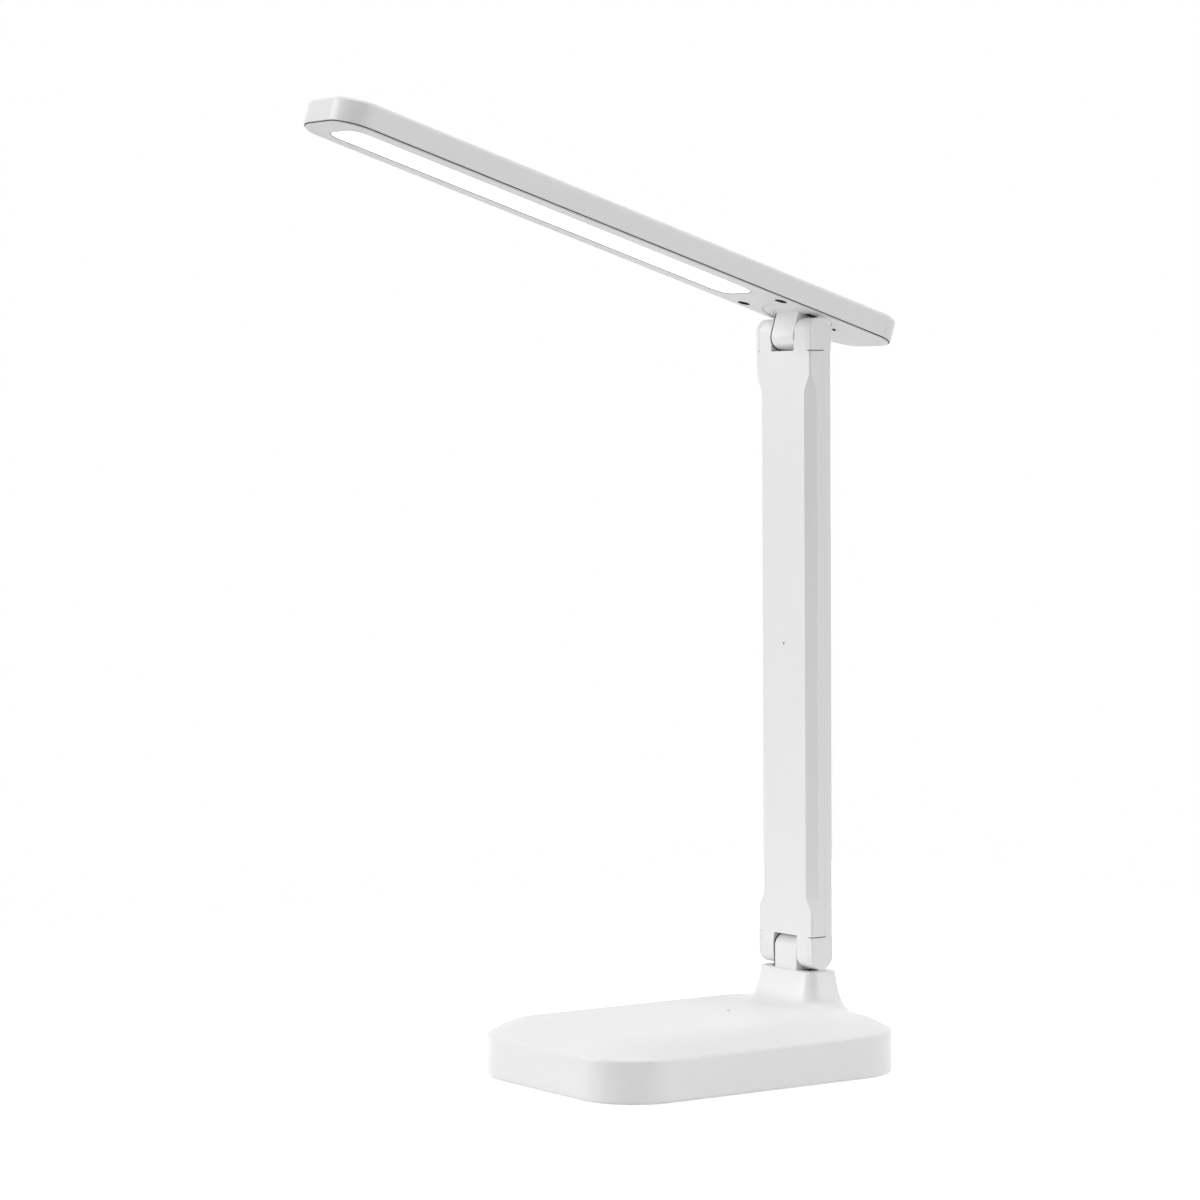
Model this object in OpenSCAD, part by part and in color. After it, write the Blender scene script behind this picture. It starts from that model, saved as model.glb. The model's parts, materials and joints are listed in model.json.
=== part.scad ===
// Folding LED desk lamp: flat base, folding arm, slim head.
// Millimetres, +Z up, origin on the desk below the middle of the base.
// The head points to -Y at rest, and both folding hinges turn about X.

/* [Base] */
// Width of the base, side to side
base_w = 112.8; // [104:0.4:124]
// Length of the base, front to back
base_l = 150; // [144:1:164]
// Height of the base's rim above the desk
rim_z = 18.4; // [17.4:0.2:22]
// Corner radius of the base outline
base_corner = 26; // [18:0.5:30]
// How far the middle of the top stands above the rim
crown_rise = 5.9; // [4:0.1:7]
// How far in from the rim the crown keeps rising
crown_reach = 19; // [15:0.5:24]
// Wall thickness of the base housing
base_wall = 2.2; // [1.8:0.1:2.6]
// Rounding of the rim
rim_round = 1.6; // [1:0.1:2]
// Rounding of the edge round the underside
bottom_round = 1.2; // [0.8:0.1:1.6]
// How far the feet stand out below the housing
foot_proud = 0.4; // [0.4:0.1:1]
// Thickness of the bottom cover
cover_t = 1.8; // [1.4:0.1:2.2]

/* [Neck] */
// Width of the neck where it ends below the hinge
neck_w = 37.4; // [37:0.2:39]
// Depth of the neck where it ends below the hinge
neck_d = 15.8; // [14.6:0.2:16.6]
// Corner radius of the neck
neck_corner = 5; // [3:0.5:6]
// Distance from the lower hinge's axis back to the middle of the neck
neck_back = 1.2; // [0.6:0.1:1.6]
// Gap from the lower hinge's axis down to the neck
neck_drop = 6.6; // [6.4:0.1:7.4]
// How fast the neck's foot fades into the crown
flare_len = 2.1; // [1.6:0.1:3]

/* [Hinges] */
// Distance from the base's rear end forward to both folding hinges
hinge_inset = 20; // [18:0.2:23]
// Height of the lower hinge's axis
lower_z = 46; // [45:0.2:52]
// Distance between the two folding hinges
arm_len = 260; // [220:1:300]
// Width of a hinge tongue
tongue_w = 14.4; // [13:0.2:14.6]
// Depth of a hinge tongue
tongue_d = 11; // [10.8:0.1:11]
// How far a tongue's rounded end reaches past its axis
tongue_end = 7.5; // [6.6:0.1:7.6]
// Corner radius of a tongue's end
tongue_round = 5.4; // [4:0.1:5.4]
// Radius of a hinge shaft
shaft_r = 2; // [1.6:0.1:2.2]
// Radial play of a turning fit
running_play = 0.05; // [0.02:0.01:0.1]
// Wall of the brass bush in a tongue
bush_wall = 1.1; // [0.8:0.1:1.4]
// Radius of the shaft's head and of its nut
nut_r = 3.8; // [3.4:0.1:4]
// Thickness of the shaft's head and of its nut
nut_t = 2.4; // [2:0.1:2.8]
// Thickness of a friction washer
washer_t = 1.2; // [1:0.1:1.4]

/* [Arm] */
// Width of the arm
arm_w = 37; // [36:0.1:38.6]
// Thickness of the arm
arm_t = 11.2; // [11.1:0.1:12]
// Width of the slot between a pair of ears
slot_w = 15.8; // [15.6:0.1:16.4]
// Distance from a hinge axis to the floor of its slot
slot_floor = 8; // [7.8:0.1:10]
// Thickness of the web behind that floor
web_t = 3; // [2:0.2:4]
// Depth of the front shell, from the front face to the side seam
front_depth = 7.4; // [7:0.1:8]
// Width of the chamfer along the front edges, seen from the front
arm_chamfer = 4; // [2:0.2:4.4]
// Depth of that chamfer, seen from the side
chamfer_depth = 3.4; // [2:0.1:4]
// Where the chamfer starts, from a hinge axis
chamfer_start = 16; // [14:0.5:20]
// Where the chamfer is full, from a hinge axis
chamfer_full = 29; // [24:0.5:40]
// Wall thickness of the arm shells
arm_wall = 1.6; // [1.4:0.1:1.8]
// Thickness of the ears' outer cheeks
cheek_t = 2.2; // [1.8:0.1:2.4]

/* [Head] */
// Upward tilt of the head at rest, degrees
head_tilt = 17.2; // [0:0.1:30]
// Gap from the upper hinge's axis to the head's underside
head_drop = 6.8; // [6.3:0.1:8]
// Reach of the head behind the hinge
head_back = 42.2; // [36:0.1:60]
// Width of the head
head_w = 39; // [36:0.5:42]
// Thickness of the head
head_t = 10.7; // [10:0.1:13]
// Corner radius of the head's outline
head_corner = 12.5; // [8:0.5:15]
// Rounding of the head's top edge
head_round = 1.8; // [1:0.1:2.4]
// Height of the lower frame's edge below the seam
bezel_edge = 0.5; // [0.4:0.1:0.9]
// Width of the seam between the head's shell and its lower frame
seam = 0.4; // [0.3:0.05:0.6]
// Thickness of the lower frame
bezel_t = 1.4; // [1.2:0.1:1.6]
// How far the lower frame is set in from the shell
bezel_inset = 0.8; // [0.4:0.1:1]
// Wall thickness of the head shell
head_wall = 1.5; // [1.2:0.1:1.6]
// Length of the light window
window_l = 201.7; // [170:0.1:204]
// Width of the light window
window_w = 23; // [18:0.2:25]
// Corner radius of the light window
window_corner = 7; // [4:0.5:9]
// Distance from the hinge to the near end of the light window
window_start = 30.3; // [29:0.1:32]
// Distance from the far end of the light window to the head's front
window_end = 10; // [9:0.1:16]

/* [Turntable] */
// Radius of the disc that the head turns on
disc_r = 14.6; // [13.4:0.1:15.2]
// Thickness of the disc
disc_t = 1.9; // [1.6:0.1:2]
// Clearance round the disc
disc_gap = 0.3; // [0.25:0.05:0.4]
// Radius of the hub behind the disc
hub_r = 9.9; // [8:0.1:10]
// Thickness of the frame's shelf that the hub passes
shelf_t = 1.5; // [1.2:0.1:1.6]
// Radius of the retaining ring
ring_r = 12.8; // [12:0.1:13]

/* [Electrics] */
// Width, length and thickness of the battery pack
battery = [64, 40, 7];
// Distance from the base's sides to the ballast plate
ballast_margin = 14.4; // [14:0.2:20]
// Length of the ballast plate
ballast_l = 54; // [40:1:56]
// Thickness of the ballast plate
ballast_t = 5; // [3:0.5:6]
// Distance from the base's front to the ballast plate
ballast_front = 12; // [10:0.5:14]
// Width, length and thickness of the main board
board = [58, 24, 1.6];
// Width of the charging socket
socket_w = 8.9; // [8:0.1:9]
// Height of the charging socket
socket_h = 3.2; // [3:0.1:3.4]
// Place of the touch spot, behind the middle of the base
touch_y = 20; // [10:0.5:30]
// Number of LEDs along each side of the light guide
leds_per_side = 20; // [8:1:28]

/* [Hidden] */
$fn = 64;
eps = 0.01;

// Colours as on the photograph
white = [0.95, 0.95, 0.95];
shade_white = [0.88, 0.88, 0.88];
glow = [1, 1, 1];
dark_rubber = [0.2, 0.2, 0.2];
steel = [0.7, 0.71, 0.73];
brass_tone = [0.8, 0.65, 0.35];
board_green = [0.1, 0.4, 0.25];

// Small clearances inside one body
fit_gap = 0.1;

// Place of both folding hinges, behind the middle of the base
hinge_y = base_l / 2 - hinge_inset;

// Base, derived
shell_z = foot_proud;
cover_top = shell_z + cover_t;
ceiling_z = rim_z - base_wall;
step_inset = 14;
crown_ceiling_z = rim_z + crown_rise - 3;
neck_top = lower_z - neck_drop;
neck_y = hinge_y + neck_back;
neck_edge = 0.8;
foot_r = 6;
foot_pocket = 1;
foot_inset = 19;
screw_inset = 12;
screw_r = 1.25;
screw_head_r = 2.4;
screw_head_t = 1.2;
boss_r = 3.4;
post_r = 2.6;
screw_len = 7.5;
battery_gap = 2;
board_z = cover_top + 3;
board_y = base_l / 2 - base_wall - 1 - board[1] / 2;
board_blocks = [[-17, -4, [7, 7, 2.4]], [12, -6, [5, 6, 1.6]], [-8, -9, [12, 4, 3.2]]];
capacitor = [2.5, 5];
capacitor_at = [19, 2, 0];
socket_depth = 7.3;
socket_z = board_z + board[2] + socket_h / 2;
crown_top_z = top_z([0, touch_y]);
lens_r = 0.9;
plate_r = 7;
plate_t = 0.4;

// Lower hinge foot, derived
spigot_w = tongue_w - 2.4;
spigot_d = tongue_d - 3.2;
spigot_h = 8;
foot_screw_x = 3.6;
foot_screw_head_z = crown_ceiling_z + 6;

// Arm, derived
half_t = arm_t / 2;
seam_y = front_depth - half_t;
upper_z = lower_z + arm_len;
ear_in = slot_w / 2;
cheek_x = arm_w / 2 - cheek_t;
nut_x = ear_in + 4.6;
washer_r = 4.2;
washer_seat = 0.8;
cavity_end = slot_floor + 5;
pockets = 6;
rib = 1.2;
pinhole_r = 0.5;
pinhole_depth = 0.6;
spine = [20, 0.8];
lead = [5, 1.2];

// Head, derived, in the level frame whose origin is the upper hinge
head_front = window_start + window_l + window_end;
head_len = head_front + head_back;
head_mid = (head_back - head_front) / 2;
shell_base = head_drop + bezel_edge + seam;
shell_top = head_drop + head_t;
head_ceiling = shell_top - head_wall;
plate_top = head_drop + bezel_t;
window_mid = -(window_start + window_l / 2);
lip_inset = head_wall + fit_gap;
head_screw = [12.8, -19];
head_screw_r = 1.2;
well_r = 2.7;
well_wall = 1;
cup_r = disc_r + disc_gap + 1.2;
shelf_z = head_drop + disc_t + disc_gap;
shelf_top = shelf_z + shelf_t;
hub_top = shelf_top + 0.8;
ring_t = 1.2;
wire_hole_r = 3;
ring_screw_r = 1;
ring_screw_at = 6.6;
turn_washer_t = 0.5;
vent = [2.6, 16.7];
diffuser_flange = 1.6;
diffuser_t = 1.2;
guide_t = 2.4;
guide_z = plate_top + diffuser_t;
strip_t = 0.8;
chip = [0.5, 3, 1.6];

// Points of a rounded rectangle, in the same order and number for every size
corner_steps = 8;
side_steps = 5;

function corner_centre(q, w, l, r) =
  [(q == 0 || q == 3 ? 1 : -1) * (w / 2 - r), (q < 2 ? 1 : -1) * (l / 2 - r)];

function corner_point(q, a, w, l, r, mid) =
  let (c = corner_centre(q, w, l, r))
  [c[0] + r * cos(a), mid + c[1] + r * sin(a)];

function outline(w, l, r, mid) = [
  for (q = [0:3])
    let (
      last = corner_point(q, 90 * q + 90, w, l, r, mid),
      next = corner_point((q + 1) % 4, 90 * q + 90, w, l, r, mid)
    )
    each concat(
      [for (k = [0:corner_steps]) corner_point(q, 90 * (q + k / corner_steps), w, l, r, mid)],
      [for (k = [1:side_steps - 1]) last + (next - last) * k / side_steps]
    )
];

// Distance from a point to a rounded rectangle, negative inside
function distance(p, w, l, r, mid) =
  let (
    dx = abs(p[0]) - (w / 2 - r),
    dy = abs(p[1] - mid) - (l / 2 - r)
  )
  norm([max(dx, 0), max(dy, 0)]) + min(max(dx, dy), 0) - r;

// Height of the base's top at a point: the crown, and the neck's foot on it
function crown_z(p) =
  let (inset = max(0, -distance(p, base_w, base_l, base_corner, 0) - rim_round))
  rim_z + crown_rise * (1 - pow(1 - min(inset / crown_reach, 1), 2));

function rim_fade(p) =
  let (inset = max(0, -distance(p, base_w, base_l, base_corner, 0) - rim_round))
  1 - pow(1 - min(inset / 5, 1), 2);

function top_z(p) =
  let (
    base_z = crown_z(p),
    d = max(0, distance(p, neck_w, neck_d, neck_corner, neck_y))
  )
  base_z + (neck_top - neck_edge - base_z) * exp(-d / flare_len) * rim_fade(p);

// Rings of the base housing, from the neck's top down to the underside
neck_reach = hinge_inset - neck_back - neck_d / 2 - rim_round - 0.8;
neck_grow = [for (share = [0.07, 0.15, 0.25, 0.37, 0.5, 0.66, 0.83, 1]) share * neck_reach];
fan_steps = 10;

function inset_outline(e) = outline(base_w - 2 * e, base_l - 2 * e, base_corner - e, 0);

function neck_outline(d) =
  outline(neck_w + 2 * d, neck_d + 2 * d, neck_corner + d, neck_y);

function fan_ring(u) =
  let (
    inner = neck_outline(neck_grow[len(neck_grow) - 1]),
    outer = inset_outline(rim_round)
  )
  [for (i = [0:len(inner) - 1]) inner[i] * (1 - u) + outer[i] * u];

function at_height(points, z) = [for (p = points) [p[0], p[1], z]];

function on_top(points) = [for (p = points) [p[0], p[1], top_z(p)]];

housing_rings = concat(
  [for (a = [90:-30:30])
    at_height(neck_outline(-neck_edge * (1 - cos(a))), neck_top - neck_edge * (1 - sin(a)))],
  [at_height(neck_outline(0), neck_top - neck_edge)],
  [for (d = neck_grow) on_top(neck_outline(d))],
  [for (k = [1:fan_steps]) on_top(fan_ring(1 - pow(1 - k / fan_steps, 1.6)))],
  [for (a = [30:30:90])
    at_height(inset_outline(rim_round * (1 - sin(a))), rim_z - rim_round * (1 - cos(a)))],
  [for (a = [0:30:90])
    at_height(inset_outline(bottom_round * (1 - cos(a))), shell_z + bottom_round * (1 - sin(a)))]
);

function middle(points) = [for (p = points) 1] * points / len(points);

// A closed skin through rings of equal length that run anticlockwise, the first one on top
module skin(rings) {
  n = len(rings[0]);
  last = len(rings) - 1;
  sides = [
    for (j = [0:last - 1], i = [0:n - 1])
      let (a = j * n + i, b = j * n + (i + 1) % n)
      each [[a, b, b + n], [a, b + n, a + n]]
  ];
  top_mid = len(rings) * n;
  bottom_mid = top_mid + 1;
  lid = [for (i = [0:n - 1]) [(i + 1) % n, i, top_mid]];
  floor_faces = [for (i = [0:n - 1]) [last * n + i, last * n + (i + 1) % n, bottom_mid]];
  points = concat([for (r = rings) each r], [middle(rings[0]), middle(rings[last])]);
  polyhedron(points, concat(lid, sides, floor_faces), convexity = 6);
}

// Rounded rectangle and rounded slab, exact
module rounded_rect(w, l, r) {
  square([w - 2 * r, l], center = true);
  square([w, l - 2 * r], center = true);
  for (x = [-1, 1], y = [-1, 1])
    translate([x * (w / 2 - r), y * (l / 2 - r)]) circle(r);
}

module slab(w, l, r, z0, z1) {
  translate([0, 0, z0]) linear_extrude(z1 - z0) rounded_rect(w, l, r);
}

// Rod along X between two places
module rod_x(r, x0, x1) {
  translate([x0, 0, 0]) rotate([0, 90, 0]) cylinder(r = r, h = x1 - x0);
}

// Hexagon nut or head along X
module hex_x(r, x0, x1) {
  translate([x0, 0, 0]) rotate([0, 90, 0]) cylinder(r = r, h = x1 - x0, $fn = 6);
}

module at_corners(dx, dy) {
  for (x = [-1, 1], y = [-1, 1]) translate([x * dx, y * dy, 0]) children();
}

screw_x = base_w / 2 - screw_inset;
screw_y = base_l / 2 - screw_inset;
foot_x = base_w / 2 - foot_inset;
foot_y = base_l / 2 - foot_inset;

// ---- Base

module base_shell() {
  color(white)
  difference() {
    union() {
      difference() {
        skin(housing_rings);
        slab(base_w - 2 * base_wall, base_l - 2 * base_wall, base_corner - base_wall,
          shell_z - eps, ceiling_z);
        slab(base_w - 2 * step_inset, base_l - 2 * step_inset, base_corner - step_inset,
          shell_z - eps, crown_ceiling_z);
      }
      screw_bosses();
    }
    at_corners(screw_x, screw_y)
      translate([0, 0, cover_top - eps]) cylinder(r = screw_r, h = 9);
    knuckle_socket();
    socket_window();
    translate([0, touch_y, crown_ceiling_z - eps])
      cylinder(r = lens_r + fit_gap, h = 10, $fn = 32);
  }
}

module screw_bosses() {
  at_corners(screw_x, screw_y)
    translate([0, 0, cover_top]) cylinder(r = boss_r, h = ceiling_z - cover_top + 1);
}

// Pocket for the tongue's spigot, and the way up for its two screws
module knuckle_socket() {
  translate([0, hinge_y, 0]) {
    translate([-spigot_w / 2 - fit_gap, -spigot_d / 2 - fit_gap, neck_top - spigot_h - fit_gap])
      cube([spigot_w + 2 * fit_gap, spigot_d + 2 * fit_gap, spigot_h + 5]);
    for (x = [-1, 1]) translate([x * foot_screw_x, 0, crown_ceiling_z - 6]) {
      cylinder(r = 1.5 + fit_gap, h = neck_top - crown_ceiling_z);
      cylinder(r = 3, h = foot_screw_head_z - crown_ceiling_z + 6);
    }
  }
}

module socket_window() {
  translate([0, base_l / 2 - base_wall - 1, socket_z]) rotate([-90, 0, 0])
    linear_extrude(base_wall + 2)
      rounded_rect(socket_w + 0.6, socket_h + 0.6, (socket_h + 0.6) / 2 - eps);
}

module base_cover() {
  color(shade_white)
  difference() {
    union() {
      slab(base_w - 2 * base_wall - 2 * fit_gap, base_l - 2 * base_wall - 2 * fit_gap,
        base_corner - base_wall - fit_gap, shell_z, cover_top);
      board_posts();
    }
    at_corners(screw_x, screw_y) {
      translate([0, 0, shell_z - eps]) cylinder(r = screw_r + 0.2, h = cover_t + 1);
      translate([0, 0, shell_z - eps]) cylinder(r = screw_head_r + 0.2, h = screw_head_t + eps);
    }
    at_corners(foot_x, foot_y)
      translate([0, 0, shell_z - eps]) cylinder(r = foot_r, h = foot_pocket + eps);
  }
}

module board_posts() {
  translate([0, board_y, cover_top]) at_corners(board[0] / 2 - 5, board[1] / 2 - 4)
    cylinder(r = post_r, h = board_z - cover_top);
}

module base_feet() {
  color(dark_rubber)
  at_corners(foot_x, foot_y) {
    translate([0, 0, 0.3]) cylinder(r = foot_r, h = shell_z + foot_pocket - 0.3);
    cylinder(r1 = foot_r - 0.3, r2 = foot_r, h = 0.3);
  }
}

module base_screws() {
  color(steel)
  at_corners(screw_x, screw_y) {
    translate([0, 0, shell_z + 0.2]) cylinder(r = screw_head_r, h = screw_head_t - 0.2);
    translate([0, 0, shell_z + screw_head_t - eps]) cylinder(r = screw_r - 0.05, h = screw_len);
  }
}

module ballast_plate() {
  color(steel)
  translate([0, -base_l / 2 + ballast_front + ballast_l / 2, 0])
    slab(base_w - 2 * ballast_margin, ballast_l, 6, cover_top, cover_top + ballast_t);
}

module battery_pack() {
  color([0.25, 0.45, 0.75])
  translate([0, -base_l / 2 + ballast_front + ballast_l + battery_gap + battery[1] / 2, 0])
    slab(battery[0], battery[1], 3, cover_top, cover_top + battery[2]);
}

module main_board() {
  color(board_green)
  translate([0, board_y, 0])
  difference() {
    slab(board[0], board[1], 1.5, board_z, board_z + board[2]);
    at_corners(board[0] / 2 - 5, board[1] / 2 - 4)
      translate([0, 0, board_z - 1]) cylinder(r = 1.1, h = board[2] + 2, $fn = 32);
  }
}

module board_parts() {
  color([0.15, 0.15, 0.16])
  translate([0, board_y, board_z + board[2]]) {
    for (b = board_blocks) translate([b[0], b[1], 0]) cube(b[2]);
    translate(capacitor_at) cylinder(r = capacitor[0], h = capacitor[1]);
  }
}

// A thin metal tube with its tongue inside, open to the rear
module usb_socket() {
  color(steel)
  translate([0, base_l / 2 - 0.4 - socket_depth, socket_z]) rotate([-90, 0, 0]) {
    difference() {
      linear_extrude(socket_depth) rounded_rect(socket_w, socket_h, socket_h / 2 - eps);
      translate([0, 0, 1]) linear_extrude(socket_depth)
        rounded_rect(socket_w - 0.6, socket_h - 0.6, socket_h / 2 - 0.3 - eps);
    }
    translate([-3.3, -0.35, 0.5]) cube([6.6, 0.7, socket_depth - 1.2]);
  }
}

module touch_plate() {
  color(brass_tone)
  translate([0, touch_y, crown_ceiling_z - plate_t])
  difference() {
    cylinder(r = plate_r, h = plate_t);
    translate([0, 0, -1]) cylinder(r = lens_r + fit_gap, h = 2, $fn = 32);
  }
}

module indicator_lens() {
  color(glow)
  translate([0, touch_y, crown_ceiling_z - 2]) {
    cylinder(r = lens_r, h = crown_top_z - crown_ceiling_z + 1.8, $fn = 32);
    translate([0, 0, 0.2]) cylinder(r = 2, h = 2 - plate_t - 0.2, $fn = 32);
  }
}

// Side outline of a tongue, its axis at the origin and its rounded end up
module tongue_outline(foot) {
  translate([-tongue_d / 2, -foot]) square([tongue_d, foot + tongue_end - tongue_round]);
  translate([-tongue_d / 2 + tongue_round, -foot])
    square([tongue_d - 2 * tongue_round, foot + tongue_end]);
  for (y = [-1, 1])
    translate([y * (tongue_d / 2 - tongue_round), tongue_end - tongue_round])
      circle(tongue_round);
}

// Tongue along X, standing on a foot below its axis, bored for its bush
module tongue(foot) {
  difference() {
    translate([-tongue_w / 2, 0, 0]) rotate([90, 0, 90])
      linear_extrude(tongue_w) tongue_outline(foot);
    rod_x(shaft_r + running_play + bush_wall + running_play, -tongue_w, tongue_w);
  }
}

module bush() {
  difference() {
    rod_x(shaft_r + running_play + bush_wall, -tongue_w / 2, tongue_w / 2);
    rod_x(shaft_r + running_play, -tongue_w, tongue_w);
  }
}

module base_knuckle() {
  color(white)
  translate([0, hinge_y, lower_z])
  difference() {
    union() {
      tongue(neck_drop);
      translate([-spigot_w / 2, -spigot_d / 2, -neck_drop - spigot_h])
        cube([spigot_w, spigot_d, spigot_h + eps]);
    }
    for (x = [-1, 1]) translate([x * foot_screw_x, 0, -neck_drop - spigot_h - 1])
      cylinder(r = 1.5 + running_play, h = spigot_h);
  }
}

module lower_bush() {
  color(brass_tone) translate([0, hinge_y, lower_z]) bush();
}

module base_knuckle_screws() {
  length = neck_top - 1.5 - foot_screw_head_z;
  color(steel)
  for (x = [-1, 1]) translate([x * foot_screw_x, hinge_y, foot_screw_head_z]) {
    translate([0, 0, -eps]) cylinder(r = 1.5, h = length + eps);
    translate([0, 0, -2]) cylinder(r = 2.8, h = 2);
  }
}

// ---- Arm, in the frame of the lower hinge: +Z along the arm, -Y its front

module on_arm() {
  translate([0, hinge_y, lower_z]) children();
}

// Do something at both ends of the arm, the far end upside down
module both_ends() {
  children();
  translate([0, 0, arm_len]) mirror([0, 0, 1]) children();
}

// Side outline of an ear, from its rounded end to the shells
module ear(x0, x1) {
  rod_x(half_t, x0, x1);
  translate([x0, -half_t, 0]) cube([x1 - x0, arm_t, slot_floor + 1]);
}

// Cutter for one chamfered front edge, which runs out towards both hinges:
// a straight ramp from 0 to 1 whose first and last shares are rounded
ramp_soft = 0.16;

function ramp(t) =
  t <= 0 ? 0 : t > 0.5 ? 1 - ramp(1 - t) :
  (t < ramp_soft ? t * t / 2 / ramp_soft : t - ramp_soft / 2) / (1 - ramp_soft);

chamfer_steps = [0, ramp_soft / 2, ramp_soft, 1 - ramp_soft, 1 - ramp_soft / 2, 1];
chamfer_run = [for (t = chamfer_steps) chamfer_start + (chamfer_full - chamfer_start) * t];
chamfer_at = concat(
  chamfer_run,
  [for (k = [len(chamfer_run) - 1:-1:0]) arm_len - chamfer_run[k]]
);

function chamfer_share(z) =
  ramp((min(z, arm_len - z) - chamfer_start) / (chamfer_full - chamfer_start)) - 0.005;

// Triangle whose slanting side cuts the arm's edge; it reaches past the edge by a share of 0.3
function chamfer_ring(z) =
  let (past = 0.3, share = chamfer_share(z), x = arm_w / 2, y = -half_t)
  [
    [x - (share + past) * arm_chamfer, y - past * chamfer_depth, z],
    [x + past * arm_chamfer, y - past * chamfer_depth, z],
    [x + past * arm_chamfer, y + (share + past) * chamfer_depth, z]
  ];

module chamfer_cutter() {
  skin([for (k = [len(chamfer_at) - 1:-1:0]) chamfer_ring(chamfer_at[k])]);
}

module arm_front() {
  color(white)
  on_arm()
  difference() {
    union() {
      translate([-arm_w / 2, -half_t, slot_floor])
        cube([arm_w, front_depth, arm_len - 2 * slot_floor]);
      both_ends() for (side = [0, 1]) mirror([side, 0, 0]) ear_block();
    }
    arm_cavity();
    both_ends() for (side = [0, 1]) mirror([side, 0, 0]) ear_cuts();
    for (side = [0, 1]) mirror([side, 0, 0]) chamfer_cutter();
    translate([0, -half_t - eps, arm_len / 2]) rotate([-90, 0, 0])
      cylinder(r = pinhole_r, h = pinhole_depth, $fn = 24);
  }
}

// Block of one ear, which carries the shaft, and the web across the floor of the slot
module ear_block() {
  ear(ear_in, cheek_x);
  translate([0, -half_t, slot_floor]) cube([cheek_x, arm_t, web_t]);
}

module ear_cuts() {
  rod_x(shaft_r + running_play, ear_in - 1, nut_x + 1);
  rod_x(washer_r + fit_gap, ear_in - 1, ear_in + washer_seat);
  rod_x(nut_r + 0.4, nut_x, cheek_x + eps);
}

// Hollow of the front shell, narrow behind the chamfers and wide behind the seam
module arm_cavity() {
  length = arm_len - 2 * cavity_end;
  narrow = arm_w / 2 - arm_chamfer - 1.2;
  wide = arm_w / 2 - arm_wall;
  translate([-narrow, -half_t + arm_wall, cavity_end]) cube([2 * narrow, arm_t, length]);
  translate([-wide, -half_t + chamfer_depth + 0.8, cavity_end]) cube([2 * wide, arm_t, length]);
}

module arm_back() {
  plate_z = slot_floor + web_t;
  color(white)
  on_arm()
  difference() {
    union() {
      translate([-arm_w / 2, seam_y, plate_z])
        cube([arm_w, arm_t - front_depth, arm_len - 2 * plate_z]);
      both_ends() for (side = [0, 1]) mirror([side, 0, 0]) cheek();
    }
    back_hollows(plate_z);
  }
}

// Outer cheek of an ear, over the end of the shaft
module cheek() {
  rod_x(half_t, cheek_x, arm_w / 2);
  translate([cheek_x, -half_t, 0]) cube([cheek_t, arm_t, slot_floor]);
  translate([cheek_x, seam_y, slot_floor - eps])
    cube([cheek_t, arm_t - front_depth, web_t + eps]);
}

// Pockets of the back shell, with cross ribs left between them
module back_hollows(plate_z) {
  inner = arm_len - 2 * plate_z - 2 * arm_wall;
  pitch = (inner + rib) / pockets;
  wide = arm_w / 2 - arm_wall;
  for (k = [0:pockets - 1])
    translate([-wide, seam_y - 1, plate_z + arm_wall + k * pitch])
      cube([2 * wide, arm_t - front_depth - arm_wall + 1, pitch - rib]);
}

module arm_spine() {
  color(steel)
  on_arm() translate([-spine[0] / 2, -half_t + arm_wall, cavity_end + 1])
    cube([spine[0], spine[1], arm_len - 2 * cavity_end - 2]);
}

module arm_lead() {
  color([0.85, 0.85, 0.87])
  on_arm() translate([-lead[0] / 2, -half_t + arm_wall + spine[1], cavity_end])
    cube([lead[0], lead[1], arm_len - 2 * cavity_end]);
}

// Bolt with a hexagon head at -X, its thread in the nut at +X
module shaft() {
  rod_x(shaft_r, -nut_x - eps, nut_x + nut_t + 0.6);
  hex_x(nut_r, -nut_x - nut_t, -nut_x);
}

module nut() {
  difference() {
    hex_x(nut_r, nut_x, nut_x + nut_t);
    rod_x(shaft_r + running_play, nut_x - 1, nut_x + nut_t + 1);
  }
}

module washers() {
  for (side = [0, 1]) mirror([side, 0, 0])
    difference() {
      rod_x(washer_r, ear_in + washer_seat - washer_t, ear_in + washer_seat);
      rod_x(shaft_r + running_play, ear_in - 2, ear_in + 2);
    }
}

module at_upper() {
  translate([0, hinge_y, upper_z]) children();
}

module lower_shaft() { color(steel) on_arm() shaft(); }
module lower_washers() { color(brass_tone) on_arm() washers(); }
module lower_nut() { color(steel) on_arm() nut(); }
module upper_shaft() { color(steel) at_upper() shaft(); }
module upper_washers() { color(brass_tone) at_upper() washers(); }
module upper_nut() { color(steel) at_upper() nut(); }

// ---- Head, drawn level with the upper hinge at the origin and tilted as a whole

module on_head() {
  at_upper() rotate([-head_tilt, 0, 0]) children();
}

module ring_screw_places() {
  for (a = [90:120:330]) rotate([0, 0, a]) translate([ring_screw_at, 0, 0]) children();
}

module head_knuckle() {
  color(white)
  on_head()
  difference() {
    union() {
      mirror([0, 0, 1]) tongue(head_drop);
      translate([0, 0, head_drop]) cylinder(r = disc_r, h = disc_t, $fn = 96);
      translate([0, 0, head_drop]) cylinder(r = hub_r, h = hub_top - head_drop);
    }
    translate([0, 0, head_drop + 1]) cylinder(r = wire_hole_r, h = 10);
    ring_screw_places() translate([0, 0, hub_top - 3])
      cylinder(r = ring_screw_r + running_play, h = 4, $fn = 24);
  }
}

module upper_bush() {
  color(brass_tone) on_head() bush();
}

module turntable_washer() {
  color(steel)
  on_head() translate([0, 0, hub_top - turn_washer_t])
  difference() {
    cylinder(r = ring_r - 0.4, h = turn_washer_t);
    translate([0, 0, -1]) cylinder(r = hub_r + fit_gap, h = 2);
  }
}

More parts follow.
